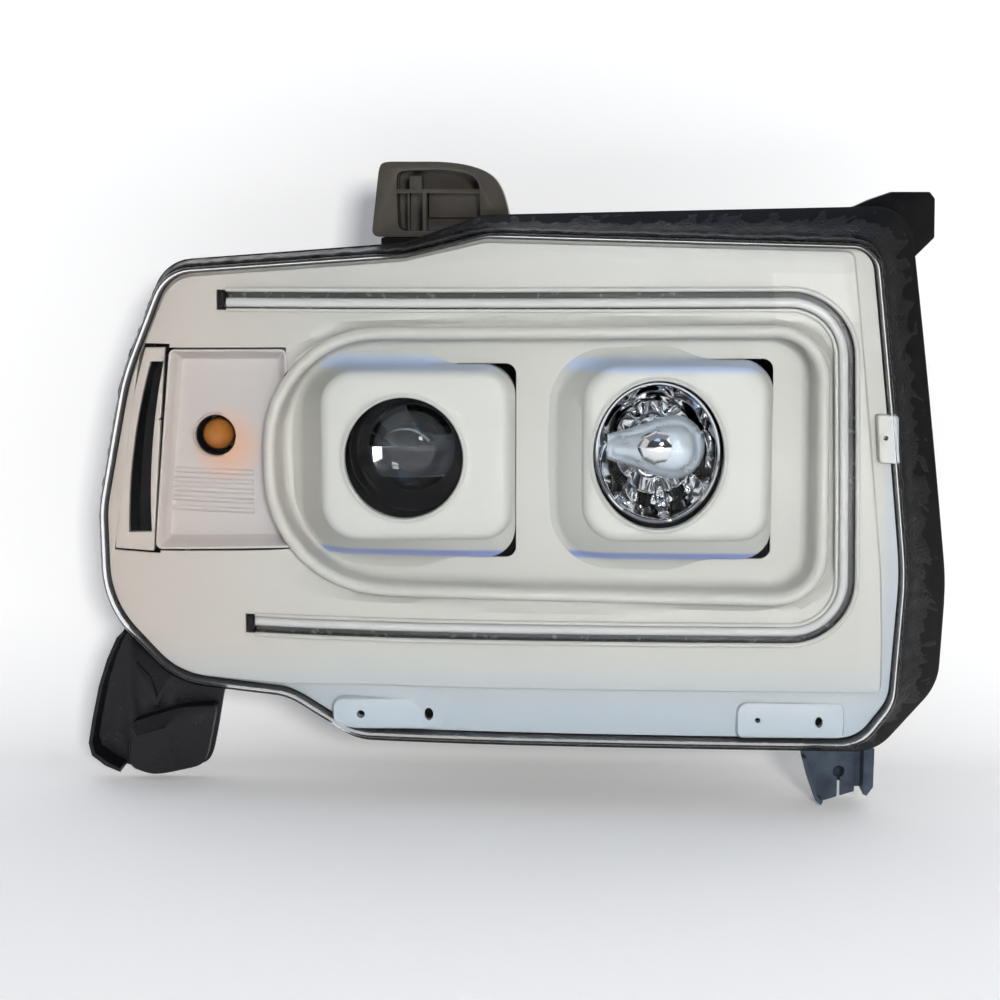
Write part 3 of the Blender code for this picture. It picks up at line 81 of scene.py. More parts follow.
LOW_AXIS = centre_of("projector_lens")
HIGH_AXIS = centre_of("high_beam_cap")
LOW_HOLE_CENTRE = (-0.073, 0.012)
SIDE_AXIS = centre_of("side_marker_bulb")
PIVOT_Y, PIVOT_Z, PIVOTS_X = 0.078, 0.108, (-0.104, 0.130)
TOWER_SCREW, OUTBOARD_SCREW, INBOARD_SCREW = (-0.048, 0.1468), (-0.2260, -0.1120), (0.2100, -0.1780)
SIDE_PAD_HOLE = (0.2348, 0.0288)

FACE = [
    (-0.232, 0.130, 0.028), (-0.072, 0.142, 0.030), (-0.020, 0.1545, 0.030), (0.226, 0.148, 0.016),
    (0.248, -0.060, 0.200), (0.244, -0.145, 0.030), (0.224, -0.1735, 0.025), (-0.108, -0.1735, 0.040),
    (-0.152, -0.1475, 0.040), (-0.232, -0.1435, 0.050), (-0.281, -0.095, 0.060), (-0.2815, -0.030, 0.080),
    (-0.262, 0.060, 0.150),
]
CREASE = [
    (-0.229, 0.127, 0.026), (-0.072, 0.139, 0.030), (-0.020, 0.151, 0.030), (0.2125, 0.1455, 0.006),
    (0.2335, -0.060, 0.200), (0.2358, -0.110, 0.020), (0.2365, -0.1385, 0.004), (-0.100, -0.1400, 0.020),
    (-0.160, -0.1425, 0.020), (-0.230, -0.1400, 0.048), (-0.278, -0.094, 0.058), (-0.2785, -0.030, 0.078),
    (-0.259, 0.059, 0.150),
]
RIM = [
    (-0.240, 0.137, 0.030), (-0.074, 0.150, 0.030), (-0.024, 0.168, 0.030), (0.252, 0.174, 0.024),
    (0.281, -0.070, 0.200), (0.279, -0.140, 0.040), (0.240, -0.188, 0.030), (-0.112, -0.188, 0.040),
    (-0.156, -0.157, 0.040), (-0.235, -0.151, 0.055), (-0.2885, -0.098, 0.065), (-0.2885, -0.028, 0.080),
    (-0.269, 0.062, 0.150),
]
DEEP = [
    (-0.136, 0.082, 0.018), (-0.072, 0.088, 0.100), (-0.020, 0.092, 0.150), (0.166, 0.090, 0.020),
    (0.176, 0.010, 0.060), (0.176, -0.080, 0.020), (0.162, -0.108, 0.020), (-0.080, -0.108, 0.020),
    (-0.108, -0.100, 0.020), (-0.126, -0.088, 0.020), (-0.140, -0.070, 0.020), (-0.143, -0.010, 0.200),
    (-0.142, 0.040, 0.100),
]
TRAY_RIM = [(-0.166, 0.096, 0.078), (0.198, 0.100, 0.034), (0.200, -0.081, 0.034), (-0.166, -0.078, 0.078)]
TRAY_FLOOR = [(-0.152, 0.085, 0.068), (0.185, 0.089, 0.022), (0.186, -0.069, 0.022), (-0.152, -0.067, 0.068)]
TRAY_DEPTH = 0.026
LOW_POD_FACE = [(-0.127, 0.068, 0.022), (-0.004, 0.069, 0.018), (-0.004, -0.041, 0.018), (-0.127, -0.042, 0.024)]
LOW_POD_BASE = [(-0.141, 0.071, 0.030), (-0.001, 0.072, 0.020), (-0.001, -0.055, 0.020), (-0.141, -0.055, 0.034)]
HIGH_POD_FACE = [(0.043, 0.072, 0.022), (0.162, 0.073, 0.018), (0.162, -0.040, 0.018), (0.043, -0.041, 0.024)]
HIGH_POD_BASE = [(0.029, 0.075, 0.032), (0.165, 0.076, 0.020), (0.165, -0.054, 0.020), (0.029, -0.054, 0.034)]
BAR_CORNERS = [(-0.190, 0.113, 0.0), (0.2075, 0.1155, 0.036), (0.2125, -0.0995, 0.036), (-0.174, -0.1015, 0.0)]
TURN_WINDOW = [(-0.2320, 0.081), (-0.150, 0.083), (-0.146, -0.050), (-0.2455, -0.0560)]
SLOT_FRAME = [(-0.2475, 0.0805), (-0.2335, 0.081), (-0.2448, -0.0560), (-0.2730, -0.0560)]
SLOT_BOW = 0.0042       # how far the slot's sides bow outboard at their middle
SLOT = [(-0.2440, 0.0715), (-0.2345, 0.0718), (-0.2458, -0.0432), (-0.2628, -0.0445)]
CHANNEL_FRONT, CHANNEL_FLOOR, CHANNEL_BACK = 0.024, 0.038, 0.041
MIDDLE_Y, REAR_Y, NECK, NECK_LENGTH = 0.124, 0.186, 0.046, 0.012
WALL, TRIM, GAP = 0.0025, 0.0022, 0.0004
STEPS = 8               # segments in each rounded corner
SPACING = 0.010         # longest straight piece of an outline


def face_depth(x, z):
    """How far the lamp's face lies behind its foremost plane."""
    share = max(0.0, (0.248 - x) / 0.528)
    return 0.014 * share + 0.056 * share**4 + 0.008 * (z / 0.150) ** 2


def refined(corners, like=None, spacing=SPACING):
    """The outline with a fourth number per corner: how many pieces the run after it is split in."""
    like = like or corners
    result = []
    for i, corner in enumerate(corners):
        here, after = Vector(like[i][:2]), Vector(like[(i + 1) % len(like)][:2])
        result.append((*corner[:3], max(1, round((after - here).length / spacing))))
    return result


FACE, CREASE, RIM, DEEP = (refined(c, FACE) for c in (FACE, CREASE, RIM, DEEP))
TRAY_RIM, TRAY_FLOOR = (refined(c, TRAY_RIM) for c in (TRAY_RIM, TRAY_FLOOR))


def grown(corners, by):
    """The outline moved outwards by a distance."""
    result = []
    for i, corner in enumerate(corners):
        here, before = Vector(corner[:2]), Vector(corners[i - 1][:2])
        after = Vector(corners[(i + 1) % len(corners)][:2])
        d1, d2 = (here - before).normalized(), (after - here).normalized()
        n1, n2 = Vector((-d1.y, d1.x)), Vector((-d2.y, d2.x))
        turn = d1.x * d2.y - d1.y * d2.x
        moved = here + (n1 + n2) * (by / (1.0 + n1.dot(n2)))
        radius = max(0.002, corner[2] + by * (1 if turn < 0 else -1)) if len(corner) > 2 else 0.0
        result.append((moved.x, moved.y, radius) + tuple(corner[3:]))
    return result


def corner_arc(corners, i, steps):
    """Points of one rounded corner."""
    here, radius = Vector(corners[i][:2]), corners[i][2]
    if radius <= 0.0:
        return [here]
    to_before = Vector(corners[i - 1][:2]) - here
    to_after = Vector(corners[(i + 1) % len(corners)][:2]) - here
    half = to_before.angle(to_after) / 2
    reach = min(radius / math.tan(half), 0.46 * to_before.length, 0.46 * to_after.length)
    start = here + to_before.normalized() * reach
    end = here + to_after.normalized() * reach
    bisector = (to_before.normalized() + to_after.normalized()).normalized()
    centre = here + bisector * (reach / math.cos(half))
    first = start - centre
    sweep = first.angle_signed(end - centre)
    arc = []
    for k in range(steps + 1):
        c, s = math.cos(-sweep * k / steps), math.sin(-sweep * k / steps)
        arc.append(centre + Vector((first.x * c - first.y * s, first.x * s + first.y * c)))
    return arc


def rounded(corners, steps=STEPS):
    """The outline as points, its corners rounded and its straights split."""
    arcs = [corner_arc(corners, i, steps) for i in range(len(corners))]
    points = []
    for i, arc in enumerate(arcs):
        after = arcs[(i + 1) % len(arcs)][0]
        pieces = corners[i][3] if len(corners[i]) > 3 else 1
        points += arc + [arc[-1].lerp(after, k / pieces) for k in range(1, pieces)]
    return points


def on_face(p, depth):
    """An (x, z) point at a depth behind the lamp's crowned face."""
    return Vector((p.x, face_depth(p.x, p.y) + depth, p.y))


def swept(corners, depth, steps=STEPS):
    """A rounded outline laid on the crowned face at a depth."""
    return [on_face(p, depth) for p in rounded(corners, steps)]


def level(corners, y, steps=STEPS):
    """A rounded outline at one level depth."""
    return [Vector((p.x, y, p.y)) for p in rounded(corners, steps)]


def shrunk(ring, share, centre, depth):
    """The ring drawn in towards a centre, on the crowned face."""
    result = []
    for p in ring:
        x, z = centre[0] + (p.x - centre[0]) * share, centre[1] + (p.z - centre[1]) * share
        result.append(Vector((x, face_depth(x, z) + depth, z)))
    return result


def eased(a, b, t):
    """a before 0, b after 1, and a smooth change between."""
    t = min(1.0, max(0.0, t))
    return a + (b - a) * t * t * (3 - 2 * t)


# ---------------------------------------------------------------- meshes
def new_object(name, points, faces):
    """Mesh object with its faces turned outwards."""
    mesh = bpy.data.meshes.new(name)
    mesh.from_pydata([tuple(p) for p in points], [], faces)
    shape = bmesh.new()
    shape.from_mesh(mesh)
    bmesh.ops.recalc_face_normals(shape, faces=shape.faces)
    shape.to_mesh(mesh)
    shape.free()
    obj = bpy.data.objects.new(name, mesh)
    SCENE.collection.objects.link(obj)
    return obj


def loft(name, rings, closed=False):
    """A solid through rings of equal count, capped at both ends or with its last ring joined to its first."""
    n, count = len(rings[0]), len(rings)
    faces = []
    for r in range(count if closed else count - 1):
        a, b = r * n, ((r + 1) % count) * n
        faces += [(a + i, a + (i + 1) % n, b + (i + 1) % n, b + i) for i in range(n)]
    if not closed:
        faces += [tuple(range(n)), tuple(range((count - 1) * n, count * n))]
    return new_object(name, [p for ring in rings for p in ring], faces)


def shell(name, outside, inside):
    """An open pan: its outside rings from the middle of the back to the rim, and back down its inside."""
    return loft(name, list(reversed(outside)) + inside)


def prism(name, points, front, back):
    """A flat outline carried from front to back."""
    return loft(name, [[Vector((p[0], y, p[1])) for p in points] for y in (front, back)])


def turned(name, axis, profile, steps=48, ring=False):
    """A solid turned about a line along Y, from (radius, y) points. Points on the axis become single ones."""
    points, rows = [], []
    for r, y in profile:
        if r <= 1e-7:
            rows.append([len(points)] * steps)
            points.append(Vector((axis[0], y, axis[1])))
            continue
        rows.append(list(range(len(points), len(points) + steps)))
        for k in range(steps):
            a = math.tau * k / steps
            points.append(Vector((axis[0] + r * math.cos(a), y, axis[1] + r * math.sin(a))))
    faces = []
    pairs = list(zip(rows, rows[1:])) + ([(rows[-1], rows[0])] if ring else [])
    for a, b in pairs:
        for i in range(steps):
            j = (i + 1) % steps
            corners = []
            for index in (a[i], a[j], b[j], b[i]):
                if index not in corners:
                    corners.append(index)
            if len(corners) > 2:
                faces.append(tuple(corners))
    return new_object(name, points, faces)


def softened(profile, amount=0.0006, cut=3):
    """A (radius, y) profile with its corners eased, for light to catch on."""
    result = []
    for i, p in enumerate(profile):
        if i in (0, len(profile) - 1):
            result.append(p)
            continue
        here, before, after = Vector(p), Vector(profile[i - 1]), Vector(profile[i + 1])
        d1, d2 = here - before, after - here
        if min(d1.length, d2.length) < 1e-6:
            continue
        turn = abs(d1.angle_signed(d2))
        reach = min(amount, 0.4 * d1.length, 0.4 * d2.length)
        if turn < 0.25 or reach < 5e-5:
            result.append(p)
            continue
        start, end = here - d1.normalized() * reach, here + d2.normalized() * reach
        for k in range(cut + 1):
            t = k / cut
            q = start * (1 - t) ** 2 + here * 2 * t * (1 - t) + end * t * t
            result.append((q.x, q.y))
    return result


def rod(name, axis, radius, front, back, steps=40):
    """A round bar along the depth."""
    return turned(name, axis, [(0.0, front), (radius, front), (radius, back), (0.0, back)], steps)


def oval(centre, half_x, half_z, y, count, phase=0.0):
    """An oval ring of points at one depth."""
    angles = [math.tau * k / count + phase for k in range(count)]
    return [Vector((centre[0] + half_x * math.cos(a), y, centre[1] + half_z * math.sin(a))) for a in angles]


def box(name, low, high):
    """A block between two corners."""
    (x0, y0, z0), (x1, y1, z1) = low, high
    return prism(name, [(x0, z0), (x0, z1), (x1, z1), (x1, z0)], y0, y1)


def settle(obj):
    """Applies every modifier."""
    graph = bpy.context.evaluated_depsgraph_get()
    mesh = bpy.data.meshes.new_from_object(obj.evaluated_get(graph))
    obj.modifiers.clear()
    old, obj.data = obj.data, mesh
    bpy.data.meshes.remove(old)
    return obj


def drop(obj):
    """Deletes a helper object and its mesh."""
    mesh = obj.data
    bpy.data.objects.remove(obj)
    bpy.data.meshes.remove(mesh)


def combine(obj, others, operation):
    """One boolean operation with each of the others in turn."""
    others = list(others)
    for other in others:
        change = obj.modifiers.new(other.name, "BOOLEAN")
        change.operation, change.object, change.solver = operation, other, "EXACT"
    settle(obj)
    for other in others:
        drop(other)
    return obj


def cut(obj, *others):
    """Takes the others out of the object."""
    return combine(obj, others, "DIFFERENCE")


def join(obj, *others):
    """Adds the others to the object."""
    return combine(obj, others, "UNION")


def bevel(obj, width, segments=2, angle=35):
    """Rounds the edges sharper than an angle."""
    soften = obj.modifiers.new("edges", "BEVEL")
    soften.width, soften.segments = width, segments
    soften.limit_method, soften.angle_limit = "ANGLE", math.radians(angle)
    soften.harden_normals = False
    return settle(obj)


def smooth(obj, angle=35):
    """Smooth shading with edges sharper than an angle kept."""
    obj.data.shade_smooth()
    obj.data.set_sharp_from_angle(angle=math.radians(angle))
    return obj


# ---------------------------------------------------------------- materials
class Nodes:
    """A Principled material under construction, with patterns in the object's own coordinates."""

    def __init__(self, name, colour, roughness, metallic=0.0, **sockets):
        self.material = bpy.data.materials.new(name)
        self.material.use_nodes = True
        self.tree = self.material.node_tree
        self.shader = self.tree.nodes["Principled BSDF"]
        self.set("Base Color", (*colour, 1.0))
        self.set("Roughness", roughness)
        self.set("Metallic", metallic)
        for socket, value in sockets.items():
            self.set(socket.replace("_", " "), value)
        self.place = self.add("ShaderNodeTexCoord").outputs["Object"]
        self.colour = (*colour, 1.0)
        self.normal = None

    def add(self, kind, **settings):
        node = self.tree.nodes.new(kind)
        for key, value in settings.items():
            setattr(node, key, value)
        return node

    def link(self, a, b):
        self.tree.links.new(a, b)

    def set(self, socket, value):
        self.shader.inputs[socket].default_value = value

    def noise(self, scale, detail=3.0, rough=0.55, stretch=None):
        node = self.add("ShaderNodeTexNoise")
        node.inputs["Scale"].default_value = scale
        node.inputs["Detail"].default_value = detail
        node.inputs["Roughness"].default_value = rough
        place = self.place
        if stretch:
            mapping = self.add("ShaderNodeMapping")
            mapping.inputs["Scale"].default_value = stretch
            self.link(place, mapping.inputs["Vector"])
            place = mapping.outputs["Vector"]
        self.link(place, node.inputs["Vector"])
        return node.outputs["Fac"]

    def ramp(self, value, low, high, to_low=0.0, to_high=1.0):
        node = self.add("ShaderNodeMapRange")
        for name, number in (("From Min", low), ("From Max", high), ("To Min", to_low), ("To Max", to_high)):
            node.inputs[name].default_value = number
        self.link(value, node.inputs["Value"])
        return node.outputs["Result"]

    def along(self, axis, low, high):
        """0 to 1 along an axis, between two places measured from the datum."""
        split = self.add("ShaderNodeSeparateXYZ")
        self.link(self.place, split.inputs["Vector"])
        shift = DATUM["XYZ".index(axis)]
        return self.ramp(split.outputs[axis], low + shift, high + shift)

    def near(self, point, radius, soft):
        """1 within a radius of a point measured from the datum, fading to 0 over a distance."""
        node = self.add("ShaderNodeVectorMath", operation="DISTANCE")
        self.link(self.place, node.inputs[0])
        node.inputs[1].default_value = DATUM + Vector(point)
        return self.ramp(node.outputs["Value"], radius, radius + soft, 1.0, 0.0)

    def times(self, a, b):
        node = self.add("ShaderNodeMath", operation="MULTIPLY")
        for i, value in enumerate((a, b)):
            if isinstance(value, float):
                node.inputs[i].default_value = value
            else:
                self.link(value, node.inputs[i])
        return node.outputs["Value"]

    def tint(self, factor, colour):
        """Mixes the base colour towards another one by a factor."""
        node = self.add("ShaderNodeMix", data_type="RGBA")
        self.link(factor, node.inputs["Factor"])
        if isinstance(self.colour, tuple):
            node.inputs["A"].default_value = self.colour
        else:
            self.link(self.colour, node.inputs["A"])
        node.inputs["B"].default_value = (*colour, 1.0)
        self.colour = node.outputs["Result"]
        self.link(self.colour, self.shader.inputs["Base Color"])
        return self

    def rough(self, factor, low, high):
        self.link(self.ramp(factor, 0.3, 0.7, low, high), self.shader.inputs["Roughness"])
        return self

    def bump(self, height, distance, strength=1.0):
        node = self.add("ShaderNodeBump")
        node.inputs["Distance"].default_value = distance
        node.inputs["Strength"].default_value = strength
        self.link(height, node.inputs["Height"])
        if self.normal:
            self.link(self.normal, node.inputs["Normal"])
        self.normal = node.outputs["Normal"]
        self.link(self.normal, self.shader.inputs["Normal"])
        return self


def moulded(name, colour, low, high, grain=2600.0, depth=0.00004, **sockets):
    """Moulded plastic: fine grain, slow waves in gloss and slightly uneven colour."""
    made = Nodes(name, colour, (low + high) / 2, **sockets)
    made.tint(made.ramp(made.noise(45.0), 0.35, 0.75, 0.0, 0.55), tuple(min(1.0, c * 1.5 + 0.004) for c in colour))
    made.rough(made.noise(90.0, 4.0), low, high)
    made.bump(made.noise(grain, 2.0), depth)
    return made


def satin(name, colour, roughness=0.34, metallic=0.20):
    """Satin chrome over plastic: silver white, with a painted warm reflection on the outboard end and painted cool
    blue reflections on the foot and the inboard edge.
    """
    made = Nodes(name, colour, roughness, metallic, Coat_Weight=0.35, Coat_Roughness=0.16)
    # painted warm reflection: the outboard end is tinted warm beige
    made.tint(made.times(made.along("X", -0.12, -0.26), 0.55), (0.48, 0.385, 0.325))
    # painted cool reflection: the foot along the bottom is tinted blue-grey
    made.tint(made.times(made.along("Z", -0.115, -0.160), 0.70), (0.32, 0.39, 0.46))
    # painted cool reflection: the inboard edge strip is tinted blue-grey
    made.tint(made.times(made.along("X", 0.234, 0.242), 0.60), (0.32, 0.39, 0.46))
    made.tint(made.ramp(made.noise(7.0, 1.0), 0.35, 0.80, 0.0, 0.16), (0.40, 0.41, 0.39))
    made.rough(made.noise(18.0, 1.0), roughness - 0.015, roughness + 0.02)
    made.bump(made.noise(14.0, 1.0), 0.00012, 0.25)
    return made


def surfaced(name, colour, metallic, gloss, waves, spots, sockets):
    """Glass or metal: gloss is its noise and lowest and highest roughness, waves a bump, spots a second colour."""
    made = Nodes(name, colour, sum(gloss[2:]) / 2, metallic, **sockets)
    if spots:
        made.tint(made.ramp(made.noise(spots[0], 4.0), 0.4, 0.7), spots[1])
    made.rough(made.noise(gloss[0], gloss[1]), gloss[2], gloss[3])
    made.bump(made.noise(waves[0], waves[1]), waves[2], waves[3])
    return made


CLEAR = {"Transmission_Weight": 1.0}
# name, colour, metallic, gloss (scale, detail, low, high), waves (scale, detail, height, strength), spots, sockets
FINISHES = {
    "chrome": (
        "bright_chrome", (0.90, 0.91, 0.92), 1.0, (120.0, 3.0, 0.02, 0.07), (60.0, 1.0, 0.0002, 0.25), None, {},
    ),
    # painted sky reflection: the shield's blue-grey base colour stands in for the pale blue sky it would mirror
    "shield": (
        "shield_chrome", (0.62, 0.69, 0.76), 0.75, (90.0, 3.0, 0.26, 0.34), (50.0, 1.0, 0.0002, 0.2), None, {},
    ),
    # painted shadow: a dark finish that stands in for the shade inside the light bar's channel
    "painted_shadow_chrome": (
        "channel_painted_shadow", (0.12, 0.12, 0.125), 0.6, (160.0, 3.0, 0.16, 0.30), (900.0, 3.0, 0.00003, 1.0), None, {},
    ),
    "guide": (
        "clear_guide", (0.44, 0.445, 0.44), 0.0, (240.0, 3.0, 0.10, 0.20), (500.0, 1.0, 0.00005, 1.0), None,
        {"Transmission_Weight": 0.10, "IOR": 1.49, "Coat_Weight": 0.6},
    ),
    "glass": (
        "optical_glass", (0.80, 0.83, 0.84), 0.0, (80.0, 3.0, 0.0, 0.02), (25.0, 1.0, 0.0002, 0.1), None,
        {**CLEAR, "IOR": 1.52},
    ),
    "quartz": (
        "bulb_glass", (0.96, 0.97, 0.98), 0.0, (200.0, 3.0, 0.0, 0.03), (160.0, 1.0, 0.0002, 0.2), None,
        {**CLEAR, "IOR": 1.46},
    ),
    "amber": (
        "amber_glass", (0.42, 0.15, 0.025), 0.0, (220.0, 3.0, 0.02, 0.07), (300.0, 1.0, 0.0001, 0.4), None,
        {"Transmission_Weight": 0.45, "IOR": 1.47},
    ),
    "steel": (
        "coated_steel", (0.070, 0.095, 0.130), 0.35, (140.0, 4.0, 0.30, 0.52), (900.0, 2.0, 0.00008, 1.0),
        (60.0, (0.035, 0.048, 0.070)), {},
    ),
    "zinc": (
        "zinc_steel", (0.60, 0.61, 0.62), 1.0, (400.0, 3.0, 0.20, 0.42), (1800.0, 3.0, 0.00003, 1.0),
        (260.0, (0.44, 0.44, 0.43)), {},
    ),
    "cast": (
        "cast_aluminium", (0.46, 0.47, 0.48), 0.95, (300.0, 3.0, 0.42, 0.64), (1200.0, 3.0, 0.00018, 1.0),
        (180.0, (0.33, 0.335, 0.34)), {},
    ),
}


def make_materials():
    made = {}
    made["satin"] = satin("satin_trim", (0.42, 0.42, 0.39))
    pocket = satin("satin_pocket", (0.43, 0.42, 0.42))
    # painted amber glow: the pocket is tinted orange round the turn bulb, as if lit through its amber glass
    painted_amber_glow = (TURN_AXIS[0] + 0.011, 0.070, TURN_AXIS[1] - 0.006)
    pocket.tint(pocket.times(pocket.near(painted_amber_glow, 0.009, 0.022), 0.80), (0.62, 0.24, 0.07))
    made["pocket"] = pocket
    pod = satin("satin_pod", (0.42, 0.425, 0.40))
    # painted sky reflection: a blue band on the pods' upward-facing top walls
    pod.tint(
        pod.times(pod.times(pod.along("Z", 0.0670, 0.0705), pod.along("Z", 0.0790, 0.0745)), 0.50),
        (0.26, 0.40, 0.70),
    )
    # painted shade and painted blue reflection: a deep blue line in the crease under the pods' bottom walls
    pod.tint(
        pod.times(pod.times(pod.along("Z", -0.0490, -0.0510), pod.along("Z", -0.0560, -0.0535)), 0.75),
        (0.10, 0.16, 0.45),
    )
    made["pod"] = pod
    made["clear"] = Nodes("clear_cover", (0.985, 0.992, 1.0), 0.0, Transmission_Weight=1.0, IOR=1.14)
    made["clear"].tint(made["clear"].ramp(made["clear"].noise(12.0, 1.0), 0.3, 0.8), (0.975, 0.985, 0.995))
    for key, (name, colour, metallic, gloss, waves, spots, sockets) in FINISHES.items():
        made[key] = surfaced(name, colour, metallic, gloss, waves, spots, sockets)
    reflex = Nodes("amber_reflex", (0.80, 0.24, 0.02), 0.10, Transmission_Weight=0.3, IOR=1.49)
    reflex.rough(reflex.noise(300.0), 0.06, 0.16)
    cells = reflex.add("ShaderNodeTexVoronoi")
    cells.inputs["Scale"].default_value = 420.0
    reflex.link(reflex.place, cells.inputs["Vector"])
    reflex.bump(cells.outputs["Distance"], 0.0008)
    made["reflex"] = reflex

    made["housing"] = moulded(
        "housing_plastic", (0.003, 0.003, 0.0034), 0.28, 0.50, depth=0.00008, Specular_IOR_Level=0.25,
    )
    made["trim"] = moulded("black_trim", (0.002, 0.002, 0.0025), 0.30, 0.50, depth=0.00001, Specular_IOR_Level=0.2)
    made["gloss"] = moulded(
        "gloss_black", (0.001, 0.001, 0.0014), 0.05, 0.14, depth=0.000004, Specular_IOR_Level=0.25,
    )
    made["smoked"] = moulded(
        "smoked_plastic", (0.050, 0.044, 0.036), 0.28, 0.44, Coat_Weight=0.15, Coat_Roughness=0.2,
    )
    made["charcoal"] = moulded("charcoal_plastic", (0.007, 0.007, 0.009), 0.24, 0.42, Specular_IOR_Level=0.4)
    made["nylon"] = moulded("nylon", (0.78, 0.76, 0.70), 0.40, 0.56)
    made["rubber"] = moulded("seal_rubber", (0.010, 0.010, 0.010), 0.60, 0.85, grain=1400.0, depth=0.0001)
    made["sealant"] = moulded("sealant", (0.003, 0.003, 0.0032), 0.20, 0.55, grain=520.0, depth=0.0007)
    made["board"] = moulded("circuit_board", (0.010, 0.060, 0.028), 0.30, 0.45)
    return {key: value.material for key, value in made.items()}


MATERIALS = make_materials()


def piece(obj, name, finish, body="lamp", replaces=(), angle=35):
    """Names a finished shape, moves it from the datum to its place, and gives it its finish and its body."""
    obj.name = obj.data.name = name
    for vertex in obj.data.vertices:
        at = vertex.co + DATUM
        vertex.co = [min(h, max(l, c)) for c, l, h in zip(at, CAD_LOW, CAD_HIGH)]
    smooth(obj, angle)
    obj.data.materials.clear()
    obj.data.materials.append(MATERIALS[finish])
    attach(obj, body)
    if replaces:
        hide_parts(*replaces)
    return obj


# ---------------------------------------------------------------- cover and housing
def outer_lens():
    """Clear cover: a rolled skirt and a crowned face."""
    edge, around = CHANNEL_FLOOR - 0.0046, 12
    outside = [(0.0028, edge), (0.0028, 0.020), (0.0028, 0.008), (0.0028, 0.0)]
    inside = [(0.0003, edge), (0.0003, 0.020), (0.0003, 0.008), (0.0003, 0.0)]
    for k in range(1, around + 1):
        a = math.pi / 2 * k / around
        outside.append((0.0028 - 0.0150 * (1 - math.cos(a)), -0.0020 - 0.0126 * math.sin(a)))
        inside.append((0.0003 - 0.0128 * (1 - math.cos(a)), -0.0010 - 0.0111 * math.sin(a)))
    outside = [swept(grown(FACE, by), d) for by, d in outside]
    inside = [swept(grown(FACE, by), d) for by, d in inside]
    last_out, last_in = outside[-1], inside[-1]
    for share in (0.95, 0.86, 0.76, 0.66, 0.56, 0.46, 0.36, 0.26, 0.16, 0.06):
        outside.append(shrunk(last_out, share, (0.0, -0.005), -0.0148))
        inside.append(shrunk(last_in, share, (0.0, -0.005), -0.0123))
    obj = shell("outer_lens", outside, inside)
    piece(obj, "cover_lens", "clear", replaces=("outer_lens",), angle=50)
    obj.visible_shadow = False


def back_ribs():
    """Low and high corners of the stiffening ribs behind the housing."""
    front, back = MIDDLE_Y - 0.0015, MIDDLE_Y + 0.016
    upright = [(x, 0.0850, 0.1300) for x in (-0.060, 0.000, 0.060, 0.120)]
    lower = [(x, -0.1500, -0.1035) for x in (-0.040, 0.060, 0.130)]
    for x, low, high in upright + lower:
        yield (x - 0.0012, front, low), (x + 0.0012, back, high)
    for z in (-0.030, 0.060):
        yield (-0.180, front, z - 0.0012), (-0.139, back, z + 0.0012)
        yield (0.1715, front, z - 0.0012), (0.2150, back, z + 0.0012)


